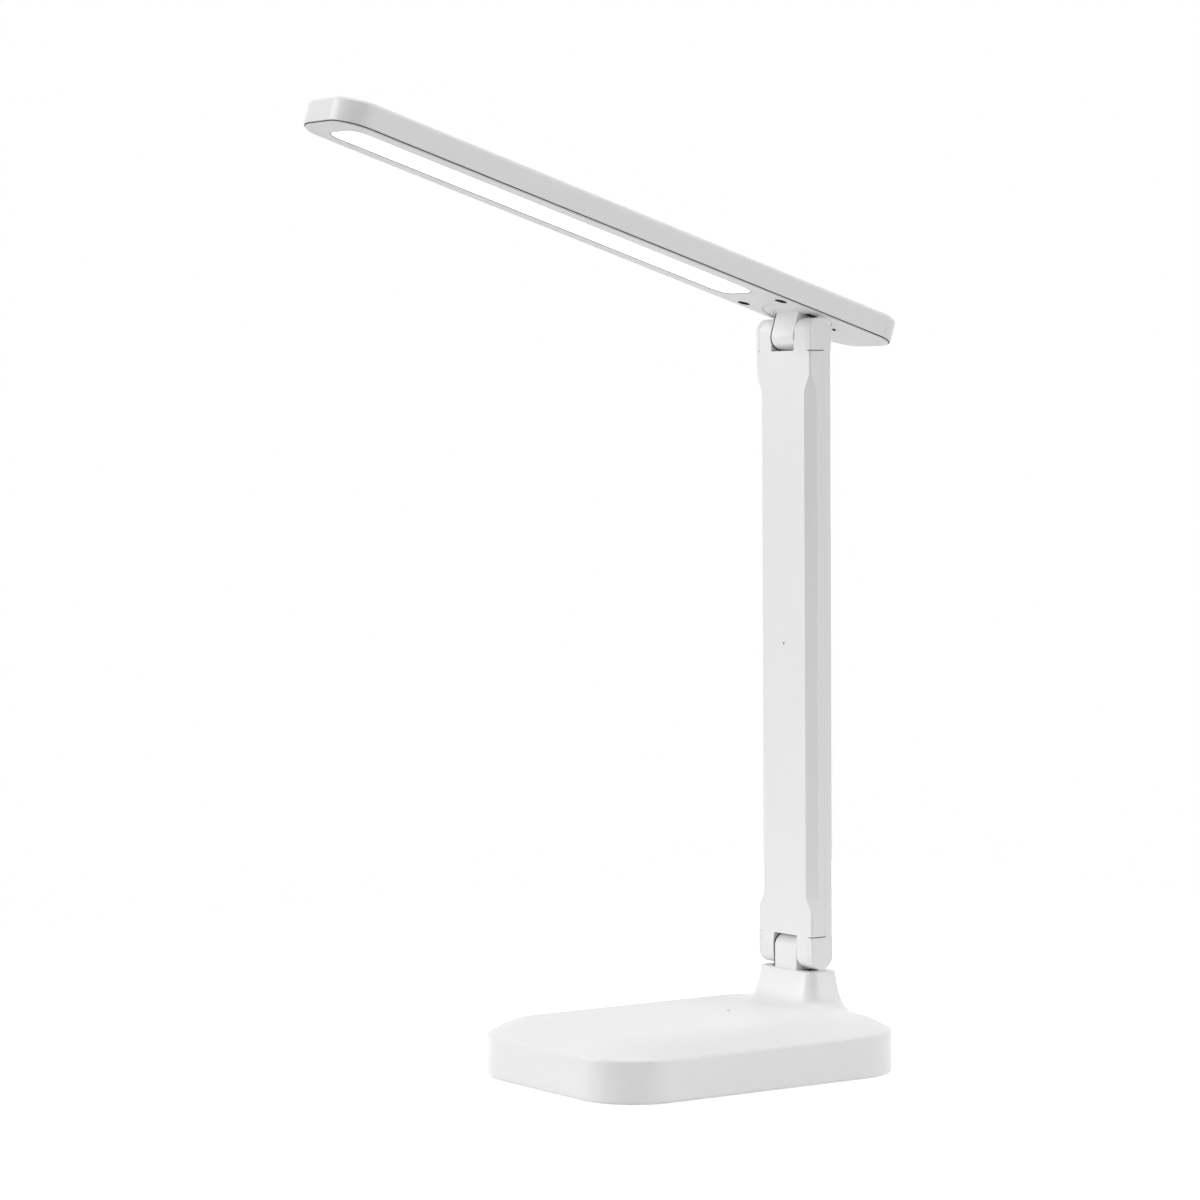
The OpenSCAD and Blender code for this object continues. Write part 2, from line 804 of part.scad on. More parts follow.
module turntable_ring() {
  color(steel)
  on_head() translate([0, 0, hub_top])
  difference() {
    cylinder(r = ring_r, h = ring_t);
    translate([0, 0, -1]) cylinder(r = wire_hole_r, h = 4);
    ring_screw_places() translate([0, 0, -1])
      cylinder(r = ring_screw_r + running_play, h = 4, $fn = 24);
  }
}

module turntable_screws() {
  color(steel)
  on_head() ring_screw_places() {
    translate([0, 0, hub_top - 2.8]) cylinder(r = ring_screw_r, h = 2.8 + ring_t, $fn = 24);
    translate([0, 0, hub_top + ring_t]) cylinder(r = 1.8, h = 1.1, $fn = 24);
  }
}

// A flat disc with a rounded top edge
module soft_disc(r, h, round_r) {
  cylinder(r = r, h = h - round_r, $fn = 48);
  for (a = [22.5:22.5:90])
    cylinder(r = r - round_r * (1 - cos(a)), h = h - round_r * (1 - sin(a)), $fn = 48);
}

module head_shell() {
  color(white)
  on_head()
  difference() {
    union() {
      difference() {
        head_body();
        translate([0, head_mid, 0])
          slab(head_w - 2 * head_wall, head_len - 2 * head_wall, head_corner - head_wall,
            shell_base - 1, head_ceiling);
      }
      head_bosses();
    }
    for (x = [-1, 1]) translate([x * head_screw[0], head_screw[1], plate_top])
      cylinder(r = head_screw_r, h = head_ceiling - plate_top, $fn = 32);
  }
}

module head_body() {
  hull()
    for (x = [-1, 1], y = [0, 1])
      translate([x * (head_w / 2 - head_corner),
        y == 0 ? -head_front + head_corner : head_back - head_corner, shell_base])
        soft_disc(head_corner, shell_top - shell_base, head_round);
}

// Two bosses that stand on the wells of the lower frame
module head_bosses() {
  for (x = [-1, 1]) translate([x * head_screw[0], head_screw[1], well_top()])
    cylinder(r = well_r + well_wall - 0.4, h = head_ceiling - well_top() + 0.5, $fn = 32);
}

function well_top() = plate_top + 2;

module head_bezel() {
  color(shade_white)
  on_head()
  difference() {
    union() {
      bezel_plate();
      bezel_lip();
      translate([0, 0, head_drop]) cylinder(r = cup_r, h = shelf_top - head_drop, $fn = 96);
      for (x = [-1, 1]) translate([x * head_screw[0], head_screw[1], head_drop])
        cylinder(r = well_r + well_wall - 0.1, h = well_top() - head_drop, $fn = 32);
    }
    translate([0, 0, head_drop - 1])
      cylinder(r = disc_r + disc_gap, h = shelf_z - head_drop + 1, $fn = 96);
    translate([0, 0, head_drop - 1]) cylinder(r = hub_r + disc_gap, h = 20);
    for (x = [-1, 1]) translate([x * head_screw[0], head_screw[1], head_drop - 1]) {
      cylinder(r = well_r, h = well_top() - head_drop, $fn = 32);
      cylinder(r = head_screw_r + 0.15, h = 12, $fn = 32);
    }
    translate([vent[0], vent[1], head_drop - 1]) cylinder(r = 0.8, h = 5, $fn = 24);
    translate([0, window_mid, 0])
      slab(window_w, window_l, window_corner, head_drop - 1, plate_top + 1);
  }
}

// Thin rim below the seam, and the thicker plate inside the shell
module bezel_plate() {
  translate([0, head_mid, 0]) {
    slab(head_w - 2 * bezel_inset, head_len - 2 * bezel_inset, head_corner - bezel_inset,
      head_drop, head_drop + bezel_edge);
    slab(head_w - 2 * lip_inset, head_len - 2 * lip_inset, head_corner - lip_inset,
      head_drop, plate_top);
  }
}

// Low wall that locates the frame inside the shell
module bezel_lip() {
  inner = lip_inset + 1;
  translate([0, head_mid, 0])
  difference() {
    slab(head_w - 2 * lip_inset, head_len - 2 * lip_inset, head_corner - lip_inset,
      head_drop + 0.5, plate_top + 2);
    slab(head_w - 2 * inner, head_len - 2 * inner, head_corner - inner, head_drop, plate_top + 3);
  }
}

module head_screws() {
  head_z = well_top() - 1;
  color(steel)
  on_head() for (x = [-1, 1]) translate([x * head_screw[0], head_screw[1], head_z]) {
    translate([0, 0, -1.4]) cylinder(r = 2.2, h = 1.4, $fn = 32);
    translate([0, 0, -eps]) cylinder(r = head_screw_r - 0.05, h = 4, $fn = 32);
  }
}

module diffuser() {
  color(glow)
  on_head() translate([0, window_mid, 0]) {
    slab(window_w - 2 * fit_gap, window_l - 2 * fit_gap, window_corner - fit_gap,
      head_drop + 0.15, plate_top + eps);
    slab(window_w + 2 * diffuser_flange, window_l + 2 * diffuser_flange,
      window_corner + diffuser_flange, plate_top, plate_top + diffuser_t);
  }
}

module light_guide() {
  color([0.9, 0.95, 1, 0.6])
  on_head() translate([0, window_mid, 0])
    slab(window_w, window_l, 1, guide_z, guide_z + guide_t);
}

module reflector() {
  color(white)
  on_head() translate([0, window_mid, 0])
    slab(window_w, window_l, 1, guide_z + guide_t, guide_z + guide_t + 0.3);
}

module led_strips() {
  color(board_green)
  on_head() for (side = [0, 1]) mirror([side, 0, 0])
    translate([window_w / 2 + chip[0], window_mid - window_l / 2, guide_z])
      cube([strip_t, window_l, guide_t]);
}

module led_chips() {
  pitch = window_l / leds_per_side;
  color([1, 0.95, 0.6])
  on_head() for (side = [0, 1]) mirror([side, 0, 0])
    for (k = [0:leds_per_side - 1])
      translate([window_w / 2, window_mid - window_l / 2 + (k + 0.5) * pitch - chip[1] / 2,
        guide_z + (guide_t - chip[2]) / 2])
        cube(chip);
}

base_shell();
base_cover();
base_feet();
base_screws();
ballast_plate();
battery_pack();
main_board();
board_parts();
usb_socket();
touch_plate();
indicator_lens();
base_knuckle();
lower_bush();
base_knuckle_screws();
arm_front();
arm_back();
arm_spine();
arm_lead();
lower_shaft();
lower_washers();
lower_nut();
upper_shaft();
upper_washers();
upper_nut();
head_knuckle();
upper_bush();
turntable_washer();
turntable_ring();
turntable_screws();
head_shell();
head_bezel();
head_screws();
diffuser();
light_guide();
reflector();
led_strips();
led_chips();
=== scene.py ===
# %% [markdown]
# # A folding LED desk lamp
# The lamp is a flat weighted base, a flat arm with a hinge at each end, and a long slim head.
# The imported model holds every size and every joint. This lesson remakes each shell that the eye
# meets with the rounded edges, seams and fine moulded grain of the real one, and lights it softly.

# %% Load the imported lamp
import json
import math

import bmesh
import bpy
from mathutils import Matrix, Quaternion, Vector


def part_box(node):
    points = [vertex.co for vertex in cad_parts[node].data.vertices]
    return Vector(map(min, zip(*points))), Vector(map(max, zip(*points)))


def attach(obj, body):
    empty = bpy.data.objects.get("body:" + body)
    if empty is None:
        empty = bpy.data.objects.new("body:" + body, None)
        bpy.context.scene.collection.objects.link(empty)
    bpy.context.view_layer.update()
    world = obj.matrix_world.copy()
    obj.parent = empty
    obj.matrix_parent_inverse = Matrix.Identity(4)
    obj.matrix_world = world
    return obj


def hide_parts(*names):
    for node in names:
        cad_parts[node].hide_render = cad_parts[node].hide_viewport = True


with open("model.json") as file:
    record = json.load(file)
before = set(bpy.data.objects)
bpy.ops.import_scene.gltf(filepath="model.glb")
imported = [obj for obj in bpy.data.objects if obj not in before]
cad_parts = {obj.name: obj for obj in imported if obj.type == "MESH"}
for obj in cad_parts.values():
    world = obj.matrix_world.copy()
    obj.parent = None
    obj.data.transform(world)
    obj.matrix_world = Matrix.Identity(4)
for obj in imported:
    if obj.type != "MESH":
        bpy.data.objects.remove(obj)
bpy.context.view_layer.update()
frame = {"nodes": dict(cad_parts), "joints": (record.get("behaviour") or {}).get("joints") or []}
mm = 0.001

# %% [markdown]
# The joints say where the two folding hinges lie and how far the head tilts at rest. The head is
# easier to model level, with the upper hinge at the origin, and is then tilted as a whole.

# %% Read the hinges from the frame
joints = {joint["name"]: joint for joint in frame["joints"]}
lower_hinge = Vector(joints["arm_hinge"]["pos_m"])
upper_hinge = Vector(joints["head_hinge"]["pos_m"])
swivel_axis = Vector(joints["head_swivel"]["axis"])
head_tilt = math.atan2(swivel_axis.y, swivel_axis.z)
arm_length = (upper_hinge - lower_hinge).z
print("arm", round(arm_length / mm, 1), "mm, head tilt", round(math.degrees(head_tilt), 1))

# %% [markdown]
# The photograph was taken with a long lens from the lamp's front right and two thirds of its
# height, looking down by two and a half degrees. A fit of the lamp's outlines gave the place.

# %% Set the camera
view_azimuth = math.radians(55.533)
view_pitch = math.radians(2.5)
view_distance = 1615.4 * mm
view_aside = -35.985 * mm
view_height = 266.316 * mm
view_roll = math.radians(-0.334)
ahead = Vector((-math.sin(view_azimuth), math.cos(view_azimuth), 0))
aside = Vector((math.cos(view_azimuth), math.sin(view_azimuth), 0))
upward = Vector((0, 0, 1))
bpy.ops.object.camera_add(
    location=aside * view_aside + upward * view_height - ahead * view_distance)
camera = bpy.context.object
line_of_sight = ahead * math.cos(view_pitch) - upward * math.sin(view_pitch)
level_view = line_of_sight.to_track_quat("-Z", "Y")
camera.rotation_euler = (level_view @ Quaternion((0, 0, 1), view_roll)).to_euler()
camera.data.sensor_width = 36
camera.data.lens = 118.07
bpy.context.scene.camera = camera
bpy.context.scene.view_settings.view_transform = "Standard"
print("camera at", [round(v, 3) for v in camera.location])

# %% [markdown]
# ## Tools of the bench
# A few small helpers repeat what the hand does in the viewport: pick faces or edges by their
# place, round them, cut one body with another, and lay a finished piece into the lamp. Sizes are
# in millimetres. Cutting bodies reach a millimetre or more past the skin that they open.

# %% Helpers for picking in edit mode
hair = 0.01


def only(piece):
    bpy.ops.object.select_all(action="DESELECT")
    piece.select_set(True)
    bpy.context.view_layer.objects.active = piece
    return piece


def edit(piece):
    only(piece)
    bpy.ops.object.mode_set(mode="EDIT")


def done():
    bpy.ops.object.mode_set(mode="OBJECT")


def pick(kind, rule):
    """Select the faces, edges or vertices of the piece in edit mode that pass the rule."""
    bpy.ops.mesh.select_mode(type=kind)
    bpy.ops.mesh.select_all(action="DESELECT")
    mesh = bpy.context.object.data
    shape = bmesh.from_edit_mesh(mesh)
    items = {"FACE": shape.faces, "EDGE": shape.edges, "VERT": shape.verts}[kind]
    found = [item for item in items if rule(item)]
    for item in found:
        item.select_set(True)
    bmesh.update_edit_mesh(mesh)
    return len(found)


def middle(edge):
    """The middle of an edge, in millimetres."""
    return (edge.verts[0].co + edge.verts[1].co) / 2 / mm


def along(edge, axis):
    """True if the edge runs along one axis: 0 for X, 1 for Y, 2 for Z."""
    run = edge.verts[1].co - edge.verts[0].co
    return abs(run[axis]) > 0.999 * run.length


# %% Helpers for starting shapes
def settle():
    """Apply place, turn and size of the selected piece to its mesh."""
    bpy.ops.object.transform_apply(location=True, rotation=True, scale=True)


def block(name, low, high):
    """A box between two corners."""
    low, high = Vector(low) * mm, Vector(high) * mm
    bpy.ops.mesh.primitive_cube_add(size=1, location=(low + high) / 2)
    piece = bpy.context.object
    piece.name = name
    piece.scale = high - low
    settle()
    return piece


def rod(name, radius, start, end, axis="X", sides=64):
    """A round rod along an axis, from a start point to an end point."""
    start, end = Vector(start) * mm, Vector(end) * mm
    turn = {"X": (0, math.pi / 2, 0), "Y": (math.pi / 2, 0, 0), "Z": (0, 0, 0)}[axis]
    bpy.ops.mesh.primitive_cylinder_add(
        vertices=sides, radius=radius * mm, depth=(end - start).length,
        location=(start + end) / 2, rotation=turn)
    piece = bpy.context.object
    piece.name = name
    settle()
    return piece


def upright(name, radius, place, z_low, z_high, sides=48):
    """A round rod that stands at a place (x, y)."""
    return rod(name, radius, (*place, z_low), (*place, z_high), "Z", sides)


def slab(name, width, length, corner, z_low, z_high, mid, steps):
    """A rounded rectangle raised into a plate: corners rounded first, then extruded."""
    bpy.ops.mesh.primitive_plane_add(size=1, location=(0, mid * mm, z_low * mm))
    piece = bpy.context.object
    piece.name = name
    piece.scale = (width * mm, length * mm, 1)
    settle()
    edit(piece)
    bpy.ops.mesh.select_all(action="SELECT")
    bpy.ops.mesh.bevel(offset=corner * mm, segments=steps, affect="VERTICES")
    bpy.ops.mesh.select_all(action="SELECT")
    bpy.ops.mesh.extrude_region_move(
        TRANSFORM_OT_translate={"value": (0, 0, (z_high - z_low) * mm)})
    bpy.ops.mesh.select_all(action="SELECT")
    bpy.ops.mesh.normals_make_consistent(inside=False)
    done()
    return piece


# %% Helpers for cutting, joining and rounding
def shape_with(piece, other, operation):
    """Cut or join a piece with another, which is used up."""
    only(piece)
    change = piece.modifiers.new("change", "BOOLEAN")
    change.operation = operation
    change.solver = "EXACT"
    change.object = other
    bpy.ops.object.modifier_apply(modifier=change.name)
    bpy.data.objects.remove(other, do_unlink=True)
    return piece


def cut(piece, *others):
    for other in others:
        shape_with(piece, other, "DIFFERENCE")
    return piece


def add(piece, *others):
    for other in others:
        shape_with(piece, other, "UNION")
    return piece


def merge_flats(piece):
    """Faces that lie in one plane become one face again after a cut or a join."""
    edit(piece)
    bpy.ops.mesh.select_all(action="SELECT")
    bpy.ops.mesh.remove_doubles(threshold=0.002 * mm)
    bpy.ops.mesh.dissolve_limited(angle_limit=math.radians(0.5))
    done()
    return piece


def round_edges(rule, radius, steps):
    """Bevel the edges that pass the rule on the piece in edit mode."""
    count = pick("EDGE", rule)
    if count:
        bpy.ops.mesh.bevel(offset=radius * mm, segments=steps, affect="EDGES", clamp_overlap=True)
    return count


def rounded(piece, rule, radius, steps):
    """The same for a piece in object mode."""
    edit(piece)
    round_edges(rule, radius, steps)
    done()
    return piece


# %% Helpers for laying and shading a finished piece
def join_all(pieces, name):
    """Join loose bodies into one object, each with its own skin."""
    only(pieces[0])
    for piece in pieces:
        piece.select_set(True)
    bpy.ops.object.join()
    pieces[0].name = name
    return pieces[0]


def turn_over(piece):
    """Turn a piece upside down about the X axis."""
    only(piece)
    piece.rotation_euler = (math.pi, 0, 0)
    settle()
    return piece


def shade(piece, angle):
    only(piece)
    bpy.ops.object.shade_smooth_by_angle(angle=math.radians(angle))
    change = piece.modifiers.new("even shading", "WEIGHTED_NORMAL")
    change.keep_sharp = True
    bpy.ops.object.modifier_apply(modifier=change.name)
    return piece


def lay(piece, origin, tilt):
    """Bring a piece from its own frame into the lamp's, and leave its object at the origin."""
    only(piece)
    piece.rotation_euler = (-tilt, 0, 0)
    piece.location = origin
    settle()
    return piece


# %% [markdown]
# ## The finish
# Every white part comes from a spark-eroded mould, so its skin has a very fine, even grain that
# takes the hard shine off. One node group makes that grain, a slight unevenness of gloss and the
# faint flow tint of thick mouldings. Each material places it with its own values.

# %% Helpers for node groups
def set_inputs(node, values):
    for name, value in values.items():
        node.inputs[name].default_value = value


def new_group(name, values):
    """A node group with these inputs, which puts out colour, roughness and height. With it come
    its inputs and outputs, as seen from inside, and the Object coordinates."""
    group = bpy.data.node_groups.new(name, "ShaderNodeTree")
    new_socket = group.interface.new_socket
    for title, value in values.items():
        kind = "NodeSocketColor" if isinstance(value, tuple) else "NodeSocketFloat"
        new_socket(name=title, in_out="INPUT", socket_type=kind).default_value = value
    new_socket(name="Colour", in_out="OUTPUT", socket_type="NodeSocketColor")
    for title in ("Roughness", "Height"):
        new_socket(name=title, in_out="OUTPUT", socket_type="NodeSocketFloat")
    given, result = group.nodes.new("NodeGroupInput"), group.nodes.new("NodeGroupOutput")
    place = group.nodes.new("ShaderNodeTexCoord")
    return group, given.outputs, result.inputs, place.outputs["Object"]


def noise(group, vector, scale, detail=2):
    """Soft noise between 0 and 1 over the vector."""
    node = group.nodes.new("ShaderNodeTexNoise")
    set_inputs(node, {"Scale": scale, "Detail": detail})
    group.links.new(vector, node.inputs["Vector"])
    return node.outputs["Fac"]


def mix(group, kind, factor, first, second):
    """The first at a factor of 0 and the second at 1; kind is FLOAT or RGBA."""
    node = group.nodes.new("ShaderNodeMix")
    node.data_type = kind
    for source, name in ((factor, "Factor"), (first, "A"), (second, "B")):
        group.links.new(source, node.inputs[name])
    return node.outputs["Result"]


# %% A node group for moulded grain
def moulded_grain():
    group, given, result, place = new_group("moulded_grain", {
        "Grain Size mm": 0.25, "Gloss Low": 0.4, "Gloss High": 0.5,
        "Colour": (0.9, 0.9, 0.9, 1), "Flow Tint": (0.88, 0.88, 0.88, 1)})
    nodes, links = group.nodes, group.links
    per_metre = nodes.new("ShaderNodeMath")
    per_metre.operation = "DIVIDE"
    per_metre.inputs[0].default_value = 1 / mm
    links.new(given["Grain Size mm"], per_metre.inputs[1])
    pits = nodes.new("ShaderNodeTexVoronoi")
    pits.feature = "SMOOTH_F1"
    links.new(place, pits.inputs["Vector"])
    links.new(per_metre.outputs[0], pits.inputs["Scale"])
    links.new(pits.outputs["Distance"], result["Height"])

    sheen_scale, flow_scale = 60, 9
    gloss = nodes.new("ShaderNodeMapRange")
    links.new(noise(group, place, sheen_scale, 3), gloss.inputs["Value"])
    links.new(given["Gloss Low"], gloss.inputs["To Min"])
    links.new(given["Gloss High"], gloss.inputs["To Max"])
    links.new(gloss.outputs["Result"], result["Roughness"])
    flow = noise(group, place, flow_scale)
    links.new(mix(group, "RGBA", flow, given["Colour"], given["Flow Tint"]), result["Colour"])
    return group


grain_group = moulded_grain()
print("group sockets:", [item.name for item in grain_group.interface.items_tree])


# %% A material that uses a group
def finish_from(group, name, values, strength, depth):
    """A material with the colour and roughness of the group, placed with its own values, and
    its height as a bump of that depth in millimetres."""
    material = bpy.data.materials.new(name)
    material.use_nodes = True
    nodes, links = material.node_tree.nodes, material.node_tree.links
    surface = nodes["Principled BSDF"]
    pattern = nodes.new("ShaderNodeGroup")
    pattern.node_tree = group
    set_inputs(pattern, values)
    bump = nodes.new("ShaderNodeBump")
    set_inputs(bump, {"Strength": strength, "Distance": depth * mm})
    links.new(pattern.outputs["Colour"], surface.inputs["Base Color"])
    links.new(pattern.outputs["Roughness"], surface.inputs["Roughness"])
    links.new(pattern.outputs["Height"], bump.inputs["Height"])
    links.new(bump.outputs["Normal"], surface.inputs["Normal"])
    return material


def moulded(name, colour, flow=0.985, gloss=(0.42, 0.52), grain=0.25, depth=0.004, glow=0.0):
    """A moulded surface: grain size and depth of the bump in millimetres, flow the tint."""
    material = finish_from(grain_group, name, {
        "Grain Size mm": grain, "Gloss Low": gloss[0], "Gloss High": gloss[1],
        "Colour": (*colour, 1), "Flow Tint": (*[c * flow for c in colour], 1)}, 0.5, depth)
    if glow:
        set_inputs(material.node_tree.nodes["Principled BSDF"],
            {"Emission Color": (1, 1, 1, 1), "Emission Strength": glow})
    return material


white_plastic = moulded("white_plastic", (0.89, 0.89, 0.89), gloss=(0.3, 0.38))
# The lower frame is the same white plastic, given a darker colour as painted shade of the head's
# underside.
shaded_frame_plastic = moulded("shaded_frame_plastic", (0.83, 0.83, 0.83), gloss=(0.46, 0.56))
milky_panel = moulded("milky_panel", (0.93, 0.93, 0.93), gloss=(0.3, 0.36), depth=0.001, glow=0.6)
# The black and the grey below colour only pieces that stand as painted shade in seams, gaps and
# wells.
painted_shade_black = moulded("painted_shade_black", (0.02, 0.02, 0.021), flow=1.2, gloss=(0.62, 0.75), grain=0.4,
    depth=0.01)
painted_shade_grey = moulded("painted_shade_grey", (0.3, 0.3, 0.3), flow=0.9, gloss=(0.5, 0.6), grain=0.4,
    depth=0.01)
print("materials:", [m.name for m in bpy.data.materials if m.use_nodes][:8])


# %% Hand a finished piece to the lamp
homes = {"base": (lower_hinge, 0), "arm": (lower_hinge, 0),
         "knuckle": (upper_hinge, head_tilt), "head": (upper_hinge, head_tilt)}


def hand_over(piece, body, slot, material, *nodes, angle=35, in_place=False):
    """Lay the piece from its body's hinge into the lamp, unless it is in its place already, and
    shade it. Give it its material, let it ride on its body and stand for its CAD nodes."""
    shade(piece if in_place else lay(piece, *homes[body]), angle)
    piece.data.materials.clear()
    piece.data.materials.append(material)
    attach(piece, body)
    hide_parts(*nodes)
    print(piece.name, "faces", len(piece.data.polygons), "rides on", body)


# %% [markdown]
# ## The base
# The housing is a low block with a softly crowned top that sweeps up into a neck at the rear.
# The neck and the rim are both rounded rectangles, so the housing is made of such outlines laid
# over each other and bridged. The sweep between them follows one formula: the crown, plus a foot
# that fades with the distance from the neck.

# %% Sizes of the base, in millimetres
base_low, base_high = (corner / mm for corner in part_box("base_shell"))
base_width = base_high.x - base_low.x
base_length = base_high.y - base_low.y
base_corner = 26
rim_height = 18.4
rim_rounding = 1.6
crown_rise = 5.9
crown_reach = 19
bottom_rounding = 1.2
wall = 2.2
neck_width = 37.4
neck_depth = 15.8
neck_corner = 5
neck_top = base_high.z
hinge_y = lower_hinge.y / mm
neck_mid = hinge_y + 1.2
neck_edge = 0.8
foot_fade, rim_fade = 2.1, 5
print("base", round(base_width, 1), "x", round(base_length, 1), "neck top", round(neck_top, 1))


# %% Height of the top at any place
def outside(x, y, width, length, corner, mid):
    """Distance from a rounded rectangle, negative inside it."""
    dx = abs(x) - (width / 2 - corner)
    dy = abs(y - mid) - (length / 2 - corner)
    return math.hypot(max(dx, 0), max(dy, 0)) + min(max(dx, dy), 0) - corner


def top_height(x, y):
    inset = max(0, -outside(x, y, base_width, base_length, base_corner, 0) - rim_rounding)
    crown = rim_height + crown_rise * (1 - (1 - min(inset / crown_reach, 1)) ** 2)
    at_rim = 1 - (1 - min(inset / rim_fade, 1)) ** 2
    away = max(0, outside(x, y, neck_width, neck_depth, neck_corner, neck_mid))
    return crown + (neck_top - neck_edge - crown) * math.exp(-away / foot_fade) * at_rim


print("crown at the middle:", round(top_height(0, 0), 2))


# %% Points of one outline
def loop_points(width, length, corner, mid=0, corner_steps=12, side_steps=10):
    """A rounded rectangle as points, anticlockwise, in the same number for every size."""
    arcs = []
    for quarter in range(4):
        centre_x = (1 if quarter in (0, 3) else -1) * (width / 2 - corner)
        centre_y = mid + (1 if quarter < 2 else -1) * (length / 2 - corner)
        turns = [math.pi / 2 * (quarter + step / corner_steps) for step in range(corner_steps + 1)]
        arcs.append([(centre_x + corner * math.cos(a), centre_y + corner * math.sin(a))
                     for a in turns])
    points = []
    for quarter, arc in enumerate(arcs):
        start, end = arc[-1], arcs[(quarter + 1) % 4][0]
        points += arc
        for step in range(1, side_steps):
            share = step / side_steps
            points.append((start[0] + (end[0] - start[0]) * share,
                           start[1] + (end[1] - start[1]) * share))
    return points


def at_height(points, height):
    return [(x, y, height) for x, y in points]


def on_top(points):
    return [(x, y, top_height(x, y)) for x, y in points]


# %% Extrude one outline into the next
def loft(name, rings):
    """A closed skin through loops of points in millimetres: a filled circle with one corner for
    each point is extruded once for each loop, and each new loop is moved to its place."""
    bpy.ops.object.select_all(action="DESELECT")
    bpy.ops.mesh.primitive_circle_add(vertices=len(rings[0]), radius=mm, fill_type="NGON")
    piece = bpy.context.object
    piece.name = name
    edit(piece)
    bpy.ops.mesh.select_mode(type="FACE")
    bpy.ops.mesh.select_all(action="SELECT")
    loop = list(range(len(rings[0])))
    for number, ring in enumerate(rings):
        if number:
            bpy.ops.mesh.extrude_region_move()
        shape = bmesh.from_edit_mesh(piece.data)
        shape.verts.ensure_lookup_table()
        if number:
            loop = [next(edge.other_vert(shape.verts[old]).index
                         for edge in shape.verts[old].link_edges
                         if edge.other_vert(shape.verts[old]).select)
                    for old in loop]
        for index, place in zip(loop, ring):
            shape.verts[index].co = Vector(place) * mm
        bmesh.update_edit_mesh(piece.data)
    bpy.ops.mesh.select_all(action="SELECT")
    bpy.ops.mesh.normals_make_consistent(inside=False)
    done()
    return piece


# %% The loops of the housing, from the neck's top down and up again inside
shell_z = base_low.z
ceiling_z = rim_height - wall
crown_wall = 3
crown_ceiling = rim_height + crown_rise - crown_wall
step_inset = 14
sweep_reach = 8.5
edge_steps, sweep_steps, fan_steps, rim_steps = 5, 18, 26, 6
sweep_power, fan_power = 1.7, 1.6


def neck_ring(grow):
    return loop_points(neck_width + 2 * grow, neck_depth + 2 * grow, neck_corner + grow, neck_mid)


def base_ring(inset):
    return loop_points(base_width - 2 * inset, base_length - 2 * inset, base_corner - inset)


def fan_ring(share):
    inner, outer = neck_ring(sweep_reach), base_ring(rim_rounding)
    return [(a[0] * (1 - share) + b[0] * share, a[1] * (1 - share) + b[1] * share)
            for a, b in zip(inner, outer)]


def quarter_turns(steps, first=0):
    return [math.pi / 2 * step / steps for step in range(first, steps + 1)]


housing_rings = [at_height(neck_ring(-neck_edge * (1 - math.cos(a))),
                           neck_top - neck_edge * (1 - math.sin(a)))
                 for a in reversed(quarter_turns(edge_steps))]
housing_rings += [on_top(neck_ring(sweep_reach * (step / sweep_steps) ** sweep_power))
                  for step in range(1, sweep_steps + 1)]
housing_rings += [on_top(fan_ring(1 - (1 - step / fan_steps) ** fan_power))
                  for step in range(1, fan_steps + 1)]
housing_rings += [at_height(base_ring(rim_rounding * (1 - math.sin(a))),
                            rim_height - rim_rounding * (1 - math.cos(a)))
                  for a in quarter_turns(rim_steps, 1)]
housing_rings += [at_height(base_ring(bottom_rounding * (1 - math.cos(a))),
                            shell_z + bottom_rounding * (1 - math.sin(a)))
                  for a in quarter_turns(edge_steps)]
housing_rings += [at_height(base_ring(wall), shell_z), at_height(base_ring(wall), ceiling_z),
                  at_height(base_ring(step_inset), ceiling_z),
                  at_height(base_ring(step_inset), crown_ceiling)]
housing = loft("base_housing", housing_rings)
print("loops", len(housing_rings), "of", len(housing_rings[0]), "points")

# %% [markdown]
# The housing has a pocket in the neck for the foot of the hinge's tongue, a hole for the tiny
# touch light, and a slot in its rear wall for the charging inlet. Each is cut with a small body.

# %% Cut the openings of the housing
tongue_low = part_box("base_knuckle")[0] / mm
tongue_width, tongue_depth = 14.4, 11
spigot_width, spigot_depth = tongue_width - 2.4, tongue_depth - 3.2
fit_gap = 0.1
lens_low, lens_high = (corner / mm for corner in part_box("indicator_lens"))
touch_y = (lens_low.y + lens_high.y) / 2
lens_radius = 0.9
inlet_low, inlet_high = (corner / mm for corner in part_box("usb_socket"))
inlet_z = (inlet_low.z + inlet_high.z) / 2
inlet_gap = 0.3


def capsule(name, width, height, y_low, y_high, z):
    """A flat rod with round sides along Y, as wide as a charging inlet."""
    piece = block(name, (-width / 2, y_low, z - height / 2), (width / 2, y_high, z + height / 2))
    return rounded(piece, lambda edge: along(edge, 1), height / 2 - hair, 10)


cut(housing,
    block("pocket", (-spigot_width / 2 - fit_gap, hinge_y - spigot_depth / 2 - fit_gap,
                     tongue_low.z - fit_gap),
        (spigot_width / 2 + fit_gap, hinge_y + spigot_depth / 2 + fit_gap, neck_top + 5)),
    upright("touch hole", lens_radius + fit_gap, (0, touch_y), crown_ceiling - 1,
        crown_ceiling + 10),
    capsule("inlet slot", inlet_high.x - inlet_low.x + 2 * inlet_gap,
        inlet_high.z - inlet_low.z + 2 * inlet_gap, base_high.y - wall - 1, base_high.y + 2,
        inlet_z))
hand_over(housing, "base", "white_plastic", white_plastic, "base_shell", angle=30,
    in_place=True)

# %% [markdown]
# ## The hinge tongues
# A tongue is a block with a rounded end, bored for a brass bush. The lower one stands on the neck
# with a foot in its pocket. The upper one hangs from the disc that the head turns on.

# %% Shape a tongue
slot_half = 7.9
tongue_end = 7.5
tongue_round = 5.4
right_play, edge_break = 0.12, 0.25
washer_radius, washer_seat = 4.2, 0.8
shaft_radius = 2
bush_radius = 3.2
neck_drop = lower_hinge.z / mm - neck_top
head_drop = 6.8


